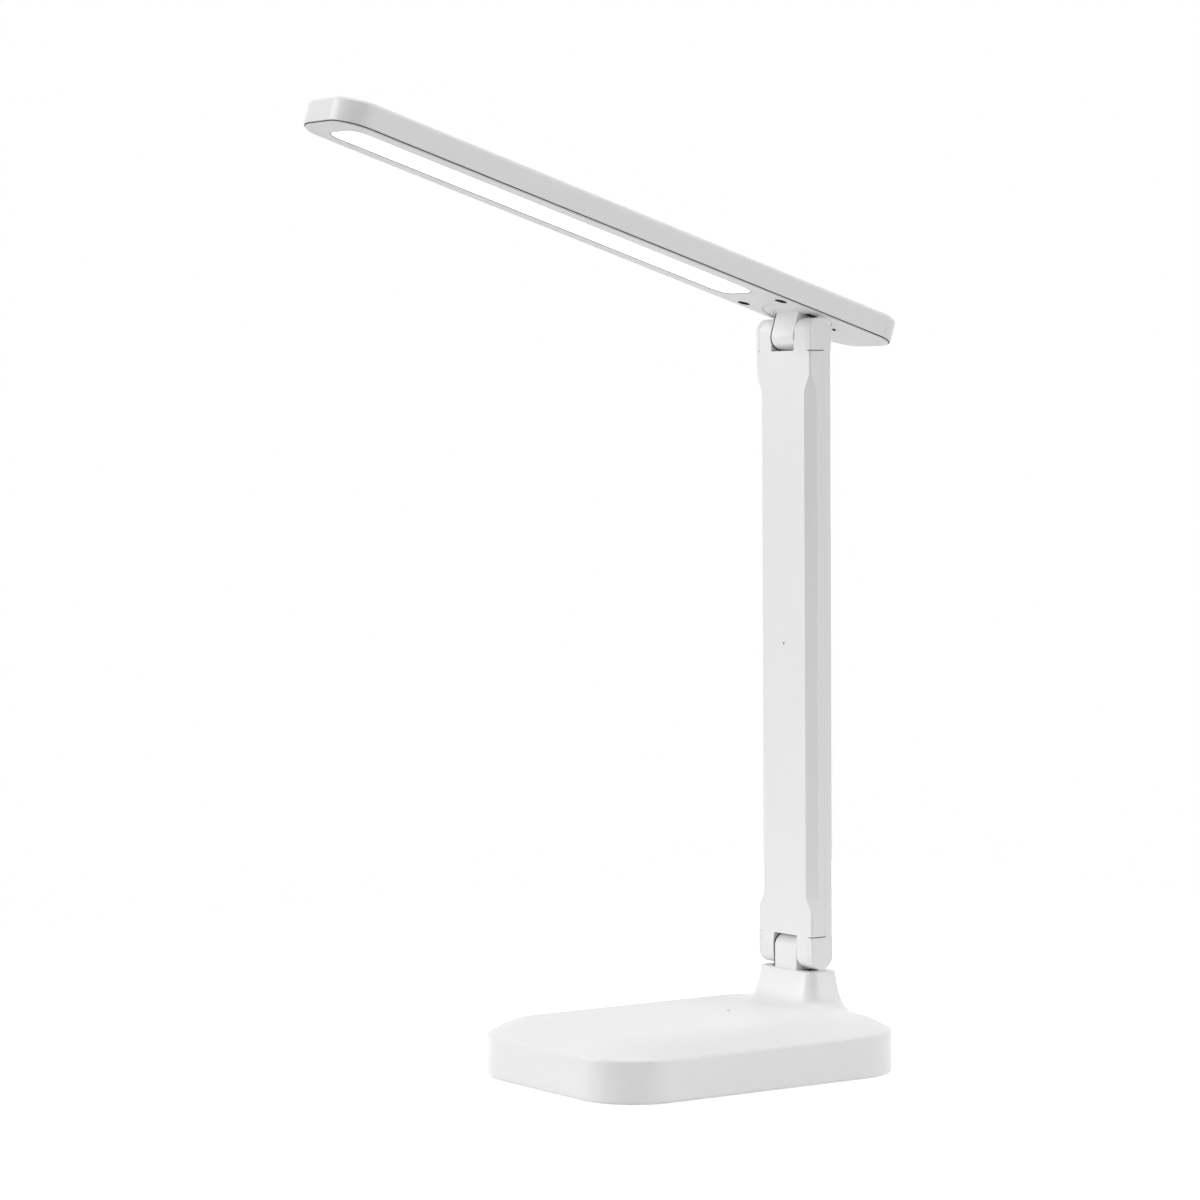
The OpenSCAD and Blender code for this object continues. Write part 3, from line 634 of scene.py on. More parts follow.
def tongue(name, foot):
    """A tongue at the origin, its bore along X and its rounded end up. It nearly meets the ear at
    its right, and has a round recess there for the washer."""
    right = slot_half - right_play
    piece = block(name, (-tongue_width / 2, -tongue_depth / 2, -foot),
        (right, tongue_depth / 2, tongue_end))
    edit(piece)
    round_edges(lambda edge: along(edge, 0) and middle(edge).z > 0, tongue_round, 14)
    round_edges(lambda edge: min(abs(middle(edge).x + tongue_width / 2),
                                 abs(middle(edge).x - right)) < 2 * hair
                and middle(edge).z > 0.1 - foot, edge_break, 3)
    done()
    return cut(piece, rod("bore", bush_radius, (-20, 0, 0), (20, 0, 0)),
        rod("washer recess", washer_radius + fit_gap, (tongue_width / 2, 0, 0), (20, 0, 0)))


foot_screw_x, foot_screw_radius, foot_screw_length = 3.6, 1.55, 12
lower_tongue = tongue("lower_tongue", neck_drop)
add(lower_tongue,
    block("foot", (-spigot_width / 2, -spigot_depth / 2, tongue_low.z - lower_hinge.z / mm),
        (spigot_width / 2, spigot_depth / 2, -neck_drop + 1)))
cut(lower_tongue, *[upright("screw hole", foot_screw_radius, (side * foot_screw_x, 0),
    -neck_drop - foot_screw_length, -neck_drop - 1, 32) for side in (-1, 1)])
merge_flats(lower_tongue)
hand_over(lower_tongue, "base", "white_plastic", white_plastic, "base_knuckle")


# %% The upper tongue with its disc and hub
disc_radius, disc_thickness, disc_rounding = 14.6, 1.9, 0.3
hub_radius, hub_rise = 9.9, 0.8
shelf_play, shelf = 0.3, 1.5
shelf_z = head_drop + disc_thickness + shelf_play
hub_top = shelf_z + shelf + hub_rise
wire_radius = 3
hub_screw_radius, hub_screw_circle, hub_screw_depth = 1.05, 6.6, 3
upper_tongue = turn_over(tongue("upper_tongue", head_drop))
disc = upright("disc", disc_radius, (0, 0), head_drop, head_drop + disc_thickness, 128)
add(upper_tongue,
    rounded(disc, lambda edge: abs(middle(edge).z - head_drop) < hair, disc_rounding, 3),
    upright("hub", hub_radius, (0, 0), head_drop + 1, hub_top, 96))
cut(upper_tongue, upright("wire hole", wire_radius, (0, 0), head_drop + 1, hub_top + 2))
for number in range(3):
    turn = math.radians(90 + 120 * number)
    place = hub_screw_circle * math.cos(turn), hub_screw_circle * math.sin(turn)
    cut(upper_tongue, upright("screw hole", hub_screw_radius, place, hub_top - hub_screw_depth,
        hub_top + 1, 24))
hand_over(upper_tongue, "knuckle", "white_plastic", white_plastic, "head_knuckle")

# %% [markdown]
# A black pad fills the narrow gap at the left of each tongue as painted shade. From the front it
# shows as the thin dark line of shade that follows the tongue's round end.

# %% Black pads, painted shade of the tongue gaps
pad_rim, pad_gap, pad_play, pad_lift = 0.25, 0.03, 0.2, 0.2
pad_proud, pad_edge, pad_bore = 0.02, 0.08, shaft_radius + 2.3
buffer_thickness, buffer_half, buffer_inset = 0.25, 2.4, 0.3


def shade_gap_pad(name, foot, buffer_reach):
    """A black plate with the tongue's outline, a little larger at the round end, with a thin buffer
    on the floor at each side of the tongue. All of it is painted shade of the gaps round the
    tongue."""
    piece = block(name, (-slot_half + pad_play, -tongue_depth / 2 - pad_proud, -foot + pad_lift),
        (-tongue_width / 2 - pad_gap, tongue_depth / 2 + pad_proud, tongue_end + pad_rim))
    rounded(piece, lambda edge: along(edge, 0) and middle(edge).z > 0, tongue_round, 14)
    only(piece)
    change = piece.modifiers.new("soft edge", "BEVEL")
    change.width, change.segments = pad_edge * mm, 2
    change.limit_method, change.angle_limit = "ANGLE", math.radians(40)
    change.miter_outer = "MITER_ARC"
    bpy.ops.object.modifier_apply(modifier=change.name)
    cut(piece, rod("bore", pad_bore, (-20, 0, 0), (20, 0, 0)))
    return add(piece,
        *[block("buffer", (x_low, -buffer_half, -foot - pad_proud),
            (x_high, buffer_half, -foot + buffer_thickness))
          for x_low, x_high in ((slot_half + buffer_inset, buffer_reach),
                                (-buffer_reach, -tongue_width / 2 - buffer_inset))])


lower_pad = shade_gap_pad("lower_shade_gap_pad", neck_drop, neck_width / 2 - 6)
hand_over(lower_pad, "base", "rubber", painted_shade_black)
upper_pad = turn_over(shade_gap_pad("upper_shade_gap_pad", head_drop, disc_radius - 3))
hand_over(upper_pad, "knuckle", "rubber", painted_shade_black)

# %% [markdown]
# ## The arm's front shell
# The shell is a flat channel whose front edges carry a long chamfer that runs out towards both
# hinges. Its cross-section is a loop of points, so the body is made as the housing was: the same
# loop, laid again and again up the arm with more or less chamfer, and small rounded corners.

# %% Sizes of the arm
back_low, back_high = (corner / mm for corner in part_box("arm_back"))
arm_width = back_high.x - back_low.x
half_thickness = (back_high.y - back_low.y) / 2
seam_y = 1.8
cheek_x = 16.3
slot_floor = 8
web = 3
chamfer_width, chamfer_depth = 4, 3.4
chamfer_start, chamfer_full = 17, 25
arm_wall = 1.6
end_corner, chamfer_corner = 1, 0.35
seam_radius = 0.15
slit = 0.35
length = arm_length / mm
print("arm width", round(arm_width, 1), "thickness", round(2 * half_thickness, 1))


# %% How much of the chamfer there is at a height
def ramp(t, soft=0.06):
    """0 to 1 as a straight ramp with rounded ends."""
    if t <= 0:
        return 0
    if t > 0.5:
        return 1 - ramp(1 - t, soft)
    return (t * t / 2 / soft if t < soft else t - soft / 2) / (1 - soft)


def chamfer_share(z):
    from_end = min(z, length - z)
    return ramp((from_end - chamfer_start) / (chamfer_full - chamfer_start))


def arc(centre, radius, start, end, steps=4):
    """Points of an arc, with its angles in degrees."""
    turns = [math.radians(start + (end - start) * step / steps) for step in range(steps + 1)]
    return [(centre[0] + radius * math.cos(a), centre[1] + radius * math.sin(a)) for a in turns]


def arm_section(share, shrink=0.0):
    """The front shell's section: seam corners behind, and a chamfer with soft edges in front."""
    x, front, back = arm_width / 2 - shrink, -half_thickness + shrink, seam_y - shrink
    lean = math.degrees(math.atan2(-chamfer_width, chamfer_depth))
    across, down = math.cos(math.radians(lean)), math.sin(math.radians(lean))
    corner = end_corner + (chamfer_corner - end_corner) * share
    inset_x, inset_front = x - corner, front + corner
    level = across * x + down * (front + share * chamfer_depth) - corner
    side_y = (level - across * inset_x) / down
    front_x = (level - down * inset_front) / across
    if side_y < inset_front:
        side_y, front_x = inset_front, inset_x
    right = (arc((front_x, inset_front), corner, -90, lean)
             + arc((inset_x, side_y), corner, lean, 0)
             + arc((x - seam_radius, back - seam_radius), seam_radius, 0, 90, 3))
    return right + [(-px, py) for px, py in reversed(right)]


# %% Lay the sections up the arm
ramp_steps = 22
ramp_run = [chamfer_start + (chamfer_full - chamfer_start) * step / ramp_steps
            for step in range(ramp_steps + 1)]
stations = ramp_run + [length - z for z in reversed(ramp_run)]
section_start = slot_floor + slit / 2
front_rings = [at_height(arm_section(0, seam_radius), section_start),
               at_height(arm_section(0), section_start + seam_radius)]
front_rings += [at_height(arm_section(chamfer_share(z)), z) for z in stations]
front_rings += [at_height(arm_section(0), length - section_start - seam_radius),
                at_height(arm_section(0, seam_radius), length - section_start)]
front_shell = loft("arm_front_shell", front_rings)
print("sections", len(front_rings), "of", len(front_rings[0]), "points")


# %% Ears with rounded ends
def round_rim(x, top, radius, steps):
    """Round the outline of an end in edit mode on its side at x, below the height top."""
    return round_edges(lambda edge: abs(middle(edge).x - x) < 2 * hair
                       and middle(edge).z < top, radius, steps)


def ear(name, x_low, x_high, reach, seam_x=None, seam_edge=0.3, inset=0.0):
    """A block from its rounded end at a hinge to the shells, at the lower end of the arm.
    Its outline is broken a little on the side at seam_x, where ear and cheek meet."""
    half = half_thickness - inset
    piece = block(name, (x_low, -half, -half), (x_high, half, reach))
    edit(piece)
    round_edges(lambda edge: along(edge, 0) and middle(edge).z < 0, half - hair, 20)
    if seam_x is not None:
        round_rim(seam_x, reach - 0.1, seam_edge, 2)
    done()
    return piece


def at_far_end(piece):
    """Turn a body of the lower end over to the upper end of the arm."""
    edit(piece)
    bpy.ops.mesh.select_all(action="SELECT")
    bpy.ops.transform.resize(value=(1, 1, -1), center_override=(0, 0, length / 2 * mm))
    bpy.ops.mesh.normals_make_consistent(inside=False)
    done()
    return piece


def both_ends(make, sides=(-1, 1)):
    """What the maker returns for each side, at the arm's lower end and at its upper end."""
    return ([make(side) for side in sides]
            + [at_far_end(make(side)) for side in sides])


def ordered(side, inner, outer):
    return (inner, outer) if side > 0 else (-outer, -inner)


add(front_shell,
    *both_ends(lambda side: ear("ear", *ordered(side, slot_half, cheek_x), slot_floor + 1,
        side * cheek_x)))
add(front_shell, *both_ends(lambda side: block("web", (-cheek_x, -half_thickness, slot_floor),
    (cheek_x, half_thickness, slot_floor + web)), sides=[0]))
merge_flats(front_shell)
print("front shell faces:", len(front_shell.data.polygons))

# %% Soften the ears and cut the arm's hollows
nut_x, nut_radius, nut_play = 12.5, 3.8, 0.4
play = 0.05
ear_edge, ear_sharpness = 0.4, 55
pinhole_radius, pinhole_depth = 0.5, 0.6


def ear_rim(edge):
    """The edges of the ears and webs that a finger meets, sharper than the section's corners."""
    z = middle(edge).z
    near_end = min(z, length - z) < slot_floor + 0.5
    sharp = edge.is_manifold and edge.calc_face_angle(0) > math.radians(ear_sharpness)
    on_ear = abs(abs(middle(edge).x) - slot_half) < 2 * hair
    return near_end and sharp and on_ear


def ear_bores(name, radius, inner, outer):
    """Rods on both hinge axes, at both sides."""
    return both_ends(lambda side: rod(name, radius,
        *[(x, 0, 0) for x in ordered(side, inner, outer)]))


rounded(front_shell, ear_rim, ear_edge, 3)
print("faces with soft ears:", len(front_shell.data.polygons))
narrow = arm_width / 2 - chamfer_width - 1.2
wide = arm_width / 2 - arm_wall
cavity_end = slot_floor + 5
cut(front_shell,
    block("hollow", (-narrow, -half_thickness + arm_wall, cavity_end),
        (narrow, half_thickness, length - cavity_end)),
    block("wide hollow", (-wide, -half_thickness + chamfer_depth + 0.8, cavity_end),
        (wide, half_thickness, length - cavity_end)),
    *ear_bores("shaft hole", shaft_radius + play, slot_half - 1, nut_x + 1),
    *ear_bores("washer seat", washer_radius + fit_gap, slot_half - 1, slot_half + washer_seat),
    *ear_bores("nut pocket", nut_radius + nut_play, nut_x, cheek_x + 1),
    rod("pinhole", pinhole_radius, (0, -half_thickness - 1, length / 2),
        (0, -half_thickness + pinhole_depth, length / 2), "Y", 32))
edit(front_shell)
facet_edges = pick("EDGE", lambda edge: min(
    abs(edge.verts[k].co.z / mm - z) for k in (0, 1) for z in (chamfer_full, length - chamfer_full))
    < hair and not along(edge, 2) and edge.verts[0].co.y < seam_y * mm - mm)
bpy.ops.mesh.mark_sharp()
done()
print("edges where the chamfer ends:", facet_edges)
hand_over(front_shell, "arm", "white_plastic", white_plastic, "arm_front", angle=28)

# %% [markdown]
# ## The arm's back shell
# The back is a flat lid whose four cheeks reach round the ears and hide the ends of the shafts.
# Each cheek has a soft outer edge about the size of a rice grain's tip, which catches the light.

# %% Plate and cheeks
cheek_rounding = 1


def cheek(side):
    inner, outer = side * cheek_x, side * arm_width / 2
    piece = ear("cheek", *ordered(side, cheek_x, arm_width / 2), slot_floor - slit / 2, inner)
    edit(piece)
    round_rim(outer, slot_floor - slit, cheek_rounding, 6)
    round_edges(lambda edge: abs(middle(edge).z - slot_floor + slit / 2) < 2 * hair
                and along(edge, 1), seam_radius, 2)
    done()
    return piece


def back_block(name, low, high):
    """A block whose long outer edges at the arm's back are rounded as the cheeks are."""
    return rounded(block(name, low, high),
        lambda edge: along(edge, 2) and middle(edge).y > half_thickness - hair
        and abs(middle(edge).x) > arm_width / 2 - hair, cheek_rounding, 6)


def cheek_tab(side):
    x_low, x_high = ordered(side, cheek_x, arm_width / 2)
    return back_block("tab", (x_low, seam_y, slot_floor - 1),
        (x_high, half_thickness, slot_floor + web + 1))


plate_end = slot_floor + web
back_shell = back_block("arm_back_shell", (-arm_width / 2, seam_y, plate_end),
    (arm_width / 2, half_thickness, length - plate_end))
add(back_shell, *both_ends(cheek), *both_ends(cheek_tab))
merge_flats(back_shell)
pocket_count, rib = 6, 1.2
pocket_pitch = (length - 2 * plate_end - 2 * arm_wall + rib) / pocket_count
for number in range(pocket_count):
    start = plate_end + arm_wall + number * pocket_pitch
    cut(back_shell, block("pocket", (-wide, seam_y - 1, start),
        (wide, half_thickness - arm_wall, start + pocket_pitch - rib)))
hand_over(back_shell, "arm", "white_plastic", white_plastic, "arm_back", angle=28)

# %% [markdown]
# Black pieces lie in the arm's narrow seams as painted shade: along the floor of each slot, in the
# slits above the cheeks, between each ear and its cheek, and in the pinhole. They stay a hair below
# the surface.

# %% Black pieces as painted shade in the arm's seams
lining, lining_play = 0.3, 0.05
lining_depth = 0.2
seam_half = 0.14
strip_front, strip_back = 0.15, 0.5
pin_radius, pin_front, pin_back = 0.46, 0.06, 0.55


def seam_shade_plate(side):
    """A thin black plate between ear and cheek, painted shade of their seam, open in the middle for
    shaft and nut.
    """
    plate = ear("seam", side * cheek_x - seam_half, side * cheek_x + seam_half,
        slot_floor - slit / 2, inset=lining_depth)
    return cut(plate, rod("nut opening", nut_radius + 0.8, (-25, 0, 0), (25, 0, 0)))


# A black fill in the slit above a cheek, painted shade of the slit.
def slit_shade_fill(side):
    x_low, x_high = ordered(side, cheek_x + seam_half, arm_width / 2 - lining_depth)
    return block("slit", (x_low, -half_thickness + end_corner, slot_floor - slit / 2 + hair),
        (x_high, seam_y - lining_depth, slot_floor + slit / 2 - hair))


# Black strips on the slot floors are painted shade of the gap at each tongue's end.
slot_strips = both_ends(lambda side: block("strip",
    (-tongue_width / 2 + lining_play, -half_thickness + strip_front, slot_floor - lining),
    (slot_half - lining_play, -half_thickness + strip_back, slot_floor - hair)), sides=[0])
# A black lining in the pinhole is painted shade of the hole.
pin_painted_shade = rod("pin lining", pin_radius, (0, -half_thickness + pin_front, length / 2),
    (0, -half_thickness + pin_back, length / 2), "Y", 32)
arm_painted_shade = join_all(
    [*slot_strips, *both_ends(seam_shade_plate), *both_ends(slit_shade_fill), pin_painted_shade],
    "arm_seam_painted_shade")
hand_over(arm_painted_shade, "arm", "rubber", painted_shade_black)

# %% [markdown]
# ## The head
# The head is a long shallow tray turned upside down. Its outline is a rounded rectangle, its top
# edge is rounded, and a thin lower frame closes it below a fine seam.

# %% Upper shell of the head
head_front, head_back = 242, 42.2
head_width, head_thickness = 39, 10.7
head_corner, head_rounding = 12.5, 1.8
head_mid = (head_back - head_front) / 2
head_length = head_front + head_back
seam_gap = 0.28
bezel_edge, bezel_thickness, bezel_inset = 0.5, 1.4, 0.8
shell_base = head_drop + bezel_edge + seam_gap
shell_top = head_drop + head_thickness
head_wall = 1.5
plate_top = head_drop + bezel_thickness
screw_x, screw_y = 12.8, -19
wells = [(side * screw_x, screw_y) for side in (-1, 1)]
well_radius = 2.7
well_top = plate_top + 2
boss_wall, thread_radius = 0.6, 1.2
head_ceiling = shell_top - head_wall


def head_slab(name, inset, z_low, z_high):
    """A plate with the head's outline, smaller all round by the inset."""
    return slab(name, head_width - 2 * inset, head_length - 2 * inset, head_corner - inset,
        z_low, z_high, head_mid, 24)


head_shell = head_slab("head_upper_shell", 0, shell_base, shell_top)
edit(head_shell)
round_edges(lambda edge: middle(edge).z > shell_top - hair, head_rounding, 8)
round_edges(lambda edge: middle(edge).z < shell_base + hair, edge_break, 2)
done()
cut(head_shell, head_slab("inside", head_wall, shell_base - 1, head_ceiling))
for place in wells:
    add(head_shell, upright("boss", well_radius + boss_wall, place, well_top, head_ceiling + 0.5))
    cut(head_shell, upright("screw hole", thread_radius, place, well_top - 1, head_ceiling, 32))
hand_over(head_shell, "head", "white_plastic", white_plastic, "head_shell", angle=30)

# %% [markdown]
# The lower frame carries the light window, the round opening that the disc turns in, two deep
# wells for the screws and one small vent hole.

# %% Lower frame of the head
window_length, window_width, window_corner, window_start = 201.7, 23, 7, 30.3
window_mid = -(window_start + window_length / 2)
lip_inset = head_wall + fit_gap
lip_wall, lip_height = 1, 2
frame_rounding = 0.3
plate_low = head_drop + 0.2
cup_wall, well_wall, screw_hole = 1.2, 0.9, 1.35
vent_place, vent_radius = (3.1, 18), 0.8
disc_gap = 0.3


def window_slab(name, inset, z_low, z_high):
    """A plate with the window's outline, smaller all round by the inset."""
    return slab(name, window_width - 2 * inset, window_length - 2 * inset, window_corner - inset,
        z_low, z_high, window_mid, 20)


lower_frame = rounded(
    head_slab("head_lower_frame", bezel_inset, head_drop, head_drop + bezel_edge),
    lambda edge: middle(edge).z < head_drop + hair, frame_rounding, 3)
add(lower_frame, head_slab("plate", lip_inset, plate_low, plate_top))
lip = head_slab("lip", lip_inset, head_drop + bezel_edge, plate_top + lip_height)
cut(lip, head_slab("lip inside", lip_inset + lip_wall, head_drop, plate_top + lip_height + 1))
add(lower_frame, lip,
    upright("cup", disc_radius + disc_gap + cup_wall, (0, 0), plate_low, shelf_z + shelf, 128),
    *[upright("well", well_radius + well_wall, place, plate_low, well_top) for place in wells])
cut(lower_frame,
    upright("disc opening", disc_radius + disc_gap, (0, 0), head_drop - 1, shelf_z, 128),
    upright("hub opening", hub_radius + disc_gap, (0, 0), head_drop - 1, shelf_z + 5, 96),
    *[upright("well inside", well_radius, place, head_drop - 1, well_top - 1) for place in wells],
    *[upright("screw hole", screw_hole, place, head_drop - 1, well_top + 2, 32)
      for place in wells],
    upright("vent", vent_radius, vent_place, head_drop - 1, head_drop + 4, 32),
    window_slab("window", 0, head_drop - 1, plate_top + 1))
hand_over(lower_frame, "head", "white_plastic", shaded_frame_plastic, "head_bezel", angle=30)

# %% [markdown]
# A thin black strip lies in the seam round the head as painted shade of the seam, and a grey one
# frames the light panel as painted shade of the window's edge. Black sleeves in the two wells are
# painted shade of their insides, and a small black plug in the vent is painted shade of the hole.

# %% Painted shade: seam strip and dark wells
# The black strip in the head's seam is painted shade of the seam.
seal_inset = 0.45
seal = head_slab("head_seam_painted_shade", seal_inset, head_drop + bezel_edge + 2 * hair,
    shell_base - 2 * hair)
cut(seal, head_slab("seal inside", lip_inset, head_drop, shell_base + 1))
hand_over(seal, "head", "rubber", painted_shade_black)

sleeve_wall, sleeve_lift, sleeve_cap = 0.35, 0.08, 0.3
plug_radius, plug_stand = 0.75, 0.6


def sleeve(place):
    """A black sleeve in a screw well, painted shade of its inside."""
    tube = upright("sleeve", well_radius - 2 * hair, place, head_drop + sleeve_lift, well_top - 1)
    return cut(tube, upright("inside", well_radius - sleeve_wall, place, head_drop - 1,
        well_top - 1 - sleeve_cap))


well_painted_shade = add(sleeve(wells[1]), sleeve(wells[0]))
cut(well_painted_shade, *[upright("shaft hole", screw_hole, place, head_drop - 1, well_top + 2, 32)
                    for place in wells])
# A black plug in the vent is painted shade of the hole.
plug = upright("plug", plug_radius, vent_place, head_drop - plug_stand, plate_top, 32)
add(well_painted_shade,
    rounded(plug, lambda edge: middle(edge).z < head_drop, edge_break, 3))
well_painted_shade.name = "head_well_painted_shade"
hand_over(well_painted_shade, "head", "rubber", painted_shade_black)

# %% Grey painted shade round the window, and the light panel
panel_gap, panel_depth = 0.32, 0.15
flange_width, flange_thickness = 1.6, 1.2
# A grey frame round the window is painted shade of the window's inner edge.
panel_edge_painted_shade = window_slab("panel_edge_painted_shade", 2 * hair, head_drop + hair, plate_top - 2 * hair)
cut(panel_edge_painted_shade, window_slab("inside", panel_gap - 2 * hair, head_drop - 1, plate_top + 1))
hand_over(panel_edge_painted_shade, "head", "rubber", painted_shade_grey)

panel = rounded(window_slab("light_panel", panel_gap, head_drop + panel_depth, plate_top + hair),
    lambda edge: middle(edge).z < head_drop + panel_depth + hair, frame_rounding, 3)
add(panel, window_slab("flange", -flange_width, plate_top, plate_top + flange_thickness))
hand_over(panel, "head", "milky_panel", milky_panel, "diffuser", angle=30)

# %% [markdown]
# ## Feet
# Four soft pads carry the lamp. A pad is turned on a lathe in thought: a flat disc with a round
# edge and one fine groove. It is modelled once and copied.

# %% One foot, then its copies
foot_low, foot_high = (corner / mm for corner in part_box("base_feet"))
foot_radius = 6
foot_x, foot_y = foot_high.x - foot_radius, foot_high.y - foot_radius
foot_rounding, groove_inset, groove_width, groove_depth = 0.35, 1.2, 0.3, 0.15
foot = upright("foot", foot_radius, (foot_x, foot_y), foot_low.z, foot_high.z, 64)
edit(foot)
pick("FACE", lambda face: face.normal.z < -0.999)
bpy.ops.mesh.bevel(offset=foot_rounding * mm, segments=4, affect="EDGES")
pick("FACE", lambda face: face.normal.z < -0.999)
bpy.ops.mesh.inset(thickness=groove_inset * mm)
bpy.ops.mesh.inset(thickness=groove_width * mm, depth=-groove_depth * mm)
bpy.ops.mesh.inset(thickness=groove_width * mm, depth=groove_depth * mm)
done()
copies = [foot]
for x, y in ((-1, 1), (1, -1), (-1, -1)):
    only(foot)
    bpy.ops.object.duplicate()
    copies.append(bpy.context.object)
    copies[-1].location = ((x - 1) * foot_x * mm, (y - 1) * foot_y * mm, 0)
join_all(copies, "rubber_feet")
settle()
foot_rubber = moulded("foot_rubber", (0.045, 0.045, 0.047), flow=1.3, gloss=(0.7, 0.82), grain=0.5,
    depth=0.02)
hand_over(foot, "base", "rubber", foot_rubber, "base_feet", in_place=True)

# %% [markdown]
# ## Finishes of the parts inside
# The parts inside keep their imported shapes. Metal shows the fine lines of drawing and turning, so
# it gets a second node group: noise stretched along one axis gives streaks in colour and gloss.

# %% A node group for drawn metal
def drawn_lines():
    group, given, result, place = new_group("drawn_lines", {
        "Lines Along X": 0, "Light": (0.7, 0.7, 0.7, 1), "Dark": (0.6, 0.6, 0.6, 1)})
    nodes, links = group.nodes, group.links
    cloud_scale, line_scale = 250, (60, 2500, 2500)
    stretch = nodes.new("ShaderNodeMapping")
    stretch.inputs["Scale"].default_value = line_scale
    links.new(place, stretch.inputs["Vector"])
    lines = noise(group, stretch.outputs["Vector"], 1, 4)
    clouds = noise(group, place, cloud_scale)
    choice = mix(group, "FLOAT", given["Lines Along X"], clouds, lines)
    links.new(mix(group, "RGBA", choice, given["Dark"], given["Light"]), result["Colour"])
    gloss = nodes.new("ShaderNodeMapRange")
    set_inputs(gloss, {"To Min": 0.25, "To Max": 0.45})
    links.new(choice, gloss.inputs["Value"])
    links.new(gloss.outputs["Result"], result["Roughness"])
    links.new(choice, result["Height"])
    return group


lines_group = drawn_lines()


def metal(name, light, dark, along_x):
    """Bare metal between two tones; along_x is 1 for drawn stock and 0 for plated screws."""
    material = finish_from(lines_group, name, {
        "Lines Along X": along_x, "Light": (*light, 1), "Dark": (*dark, 1)}, 0.4, 0.004)
    material.node_tree.nodes["Principled BSDF"].inputs["Metallic"].default_value = 1
    return material


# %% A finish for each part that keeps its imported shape
steel = metal("zinc_plated_steel", (0.68, 0.69, 0.71), (0.56, 0.57, 0.6), 0)
drawn_steel = metal("drawn_steel", (0.66, 0.67, 0.69), (0.5, 0.51, 0.53), 1)
brass = metal("turned_brass", (0.8, 0.62, 0.33), (0.66, 0.49, 0.24), 0)
dark_screw = metal("blackened_steel", (0.06, 0.06, 0.065), (0.03, 0.03, 0.033), 0)
light_pipe = moulded("light_pipe", (0.2, 0.2, 0.21), gloss=(0.12, 0.18), depth=0.0005)
clear_guide = moulded("clear_guide", (0.86, 0.92, 0.95), gloss=(0.06, 0.1), depth=0.0005)
finishes = {
    white_plastic: ["base_cover"],
    steel: ["base_screws", "usb_socket", "base_knuckle_screws", "lower_nut", "upper_nut",
            "turntable_screws"],
    drawn_steel: ["ballast_plate", "arm_spine", "lower_shaft", "upper_shaft", "turntable_washer",
                  "turntable_ring"],
    brass: ["touch_plate", "lower_bush", "upper_bush", "lower_washers", "upper_washers"],
    dark_screw: ["head_screws"],
    light_pipe: ["indicator_lens"],
    clear_guide: ["light_guide"],
    moulded("cell_film", (0.2, 0.4, 0.7), flow=0.85, gloss=(0.18, 0.3), grain=1.5):
        ["battery_pack"],
    moulded("solder_mask", (0.06, 0.3, 0.17), flow=0.7, gloss=(0.25, 0.4), grain=0.6):
        ["main_board", "led_strips"],
    moulded("component_case", (0.05, 0.05, 0.055), flow=1.4, gloss=(0.5, 0.6)): ["board_parts"],
    moulded("lead_jacket", (0.8, 0.8, 0.82), flow=0.94, gloss=(0.4, 0.5)): ["arm_lead"],
    moulded("reflecting_sheet", (0.93, 0.93, 0.93), gloss=(0.5, 0.6)): ["reflector"],
    moulded("led_face", (0.93, 0.82, 0.42), flow=0.8, gloss=(0.3, 0.4), grain=0.1): ["led_chips"],
}
for finish, names in finishes.items():
    for name in names:
        for place in frame["nodes"][name].material_slots:
            place.material = finish
print("parts that keep their shape:", sum(len(names) for names in finishes.values()))

# %% [markdown]
# ## Studio
# The lamp stands on a white floor under a soft light from the front and above. The floor and the
# sky show plain white to the camera and in reflections, while the light that falls on the lamp
# stays at a plain level. The floor still keeps a very faint shadow.

# %% Floor
def seen_rays(tree):
    """1 for rays that show the background: from the camera, in reflections and through glass."""
    path = tree.nodes.new("ShaderNodeLightPath")
    total = path.outputs["Is Camera Ray"]
    for name in ("Is Glossy Ray", "Is Transmission Ray"):
        step = tree.nodes.new("ShaderNodeMath")
        step.operation = "MAXIMUM"
        tree.links.new(total, step.inputs[0])
        tree.links.new(path.outputs[name], step.inputs[1])
        total = step.outputs[0]
    return total


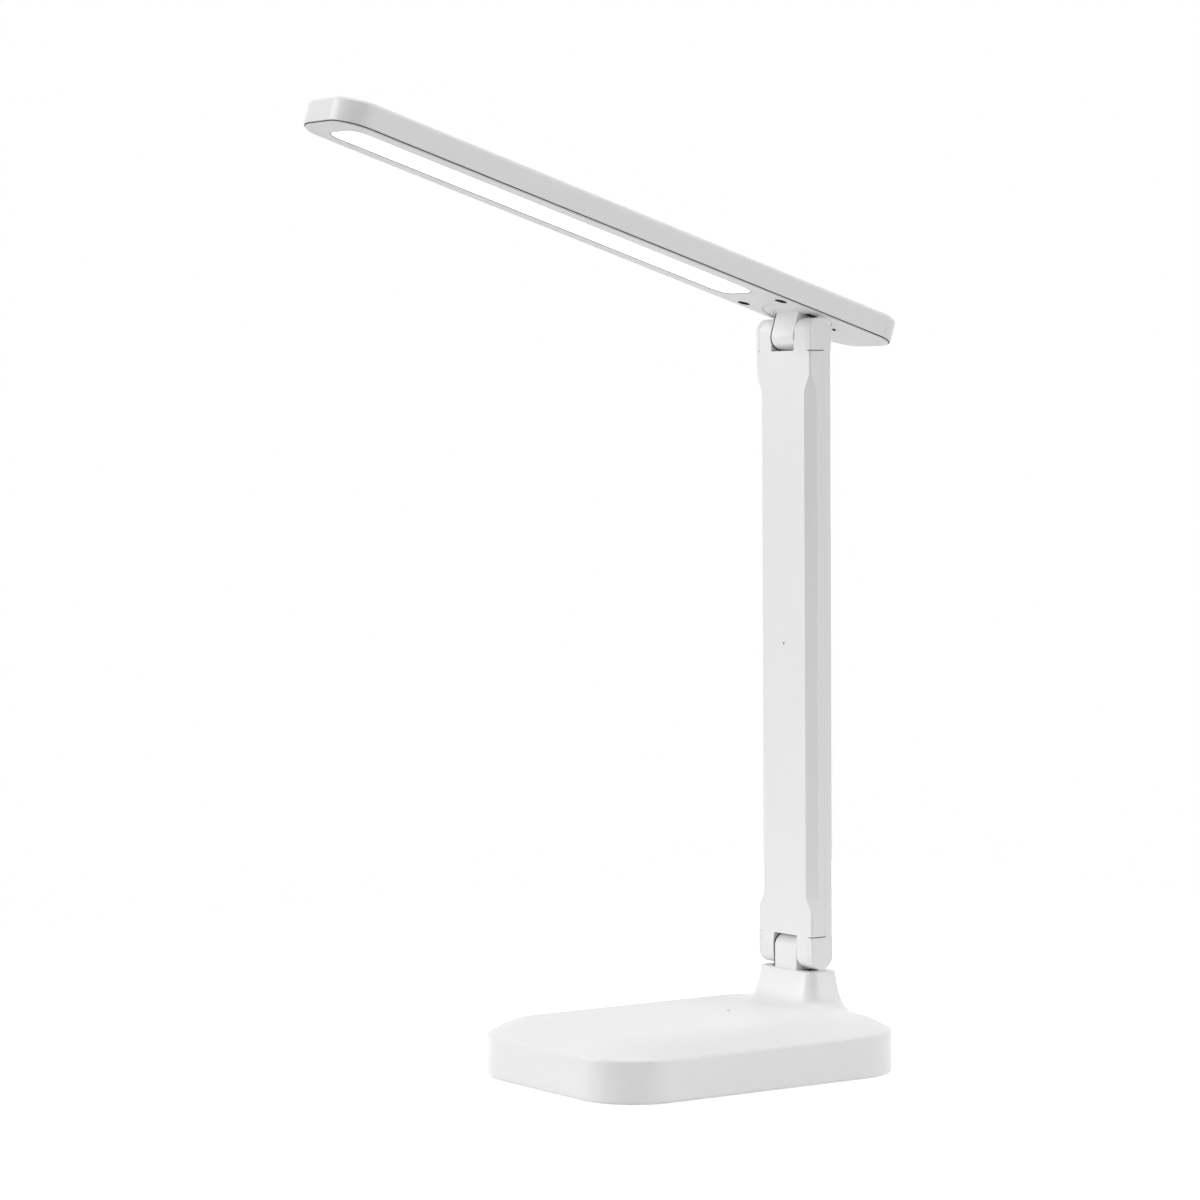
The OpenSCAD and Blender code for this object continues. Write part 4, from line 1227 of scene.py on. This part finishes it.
floor_size, floor_glow_level = 1.2, 0.75
bpy.ops.mesh.primitive_plane_add(size=floor_size, location=(0, 0, 0))
floor = bpy.context.object
floor.name = "floor"
floor_finish = bpy.data.materials.new("floor")
floor_finish.use_nodes = True
floor_tree = floor_finish.node_tree
floor_surface = floor_tree.nodes["Principled BSDF"]
set_inputs(floor_surface, {"Base Color": (0.8, 0.8, 0.8, 1), "Roughness": 0.9,
    "Specular IOR Level": 0.1, "Emission Color": (1, 1, 1, 1)})
floor_glow = floor_tree.nodes.new("ShaderNodeMath")
floor_glow.operation = "MULTIPLY"
floor_glow.inputs[1].default_value = floor_glow_level
floor_tree.links.new(seen_rays(floor_tree), floor_glow.inputs[0])
floor_tree.links.new(floor_glow.outputs[0], floor_surface.inputs["Emission Strength"])
floor.data.materials.append(floor_finish)

# %% Sky and lights
sky_high, sky_low, horizon_half = 0.23, 0.37, 0.15
world = bpy.data.worlds.new("studio")
bpy.context.scene.world = world
world.use_nodes = True
sky_tree = world.node_tree
background = sky_tree.nodes["Background"]
background.inputs["Color"].default_value = (1, 1, 1, 1)
direction = sky_tree.nodes.new("ShaderNodeTexCoord")
height = sky_tree.nodes.new("ShaderNodeSeparateXYZ")
sky_tree.links.new(direction.outputs["Generated"], height.inputs[0])
sky_fall = sky_tree.nodes.new("ShaderNodeMapRange")
set_inputs(sky_fall, {"From Min": -horizon_half, "From Max": horizon_half,
    "To Min": sky_low, "To Max": sky_high})
sky_tree.links.new(height.outputs["Z"], sky_fall.inputs["Value"])
sky_strength = sky_tree.nodes.new("ShaderNodeMapRange")
sky_tree.links.new(sky_fall.outputs["Result"], sky_strength.inputs["To Min"])
sky_strength.inputs["To Max"].default_value = 1
sky_tree.links.new(seen_rays(sky_tree), sky_strength.inputs["Value"])
sky_tree.links.new(sky_strength.outputs["Result"], background.inputs["Strength"])


def soft_light(name, direction, strength, spread=35):
    """A wide soft light from a direction; strength is what a white face turned to it would show."""
    bpy.ops.object.light_add(type="SUN", location=direction)
    lamp = bpy.context.object
    lamp.name = name
    lamp.rotation_euler = Vector(direction).to_track_quat("Z", "Y").to_euler()
    lamp.data.energy = strength * math.pi
    lamp.data.angle = math.radians(spread)
    print(name, "strength", strength)


soft_light("key_light", (-0.5, -0.75, 0.3), 0.495)
soft_light("top_light", (0.05, 0.1, 0.99), 0.53)
soft_light("side_light", (0.8, 0.5, 0.3), 0.235)
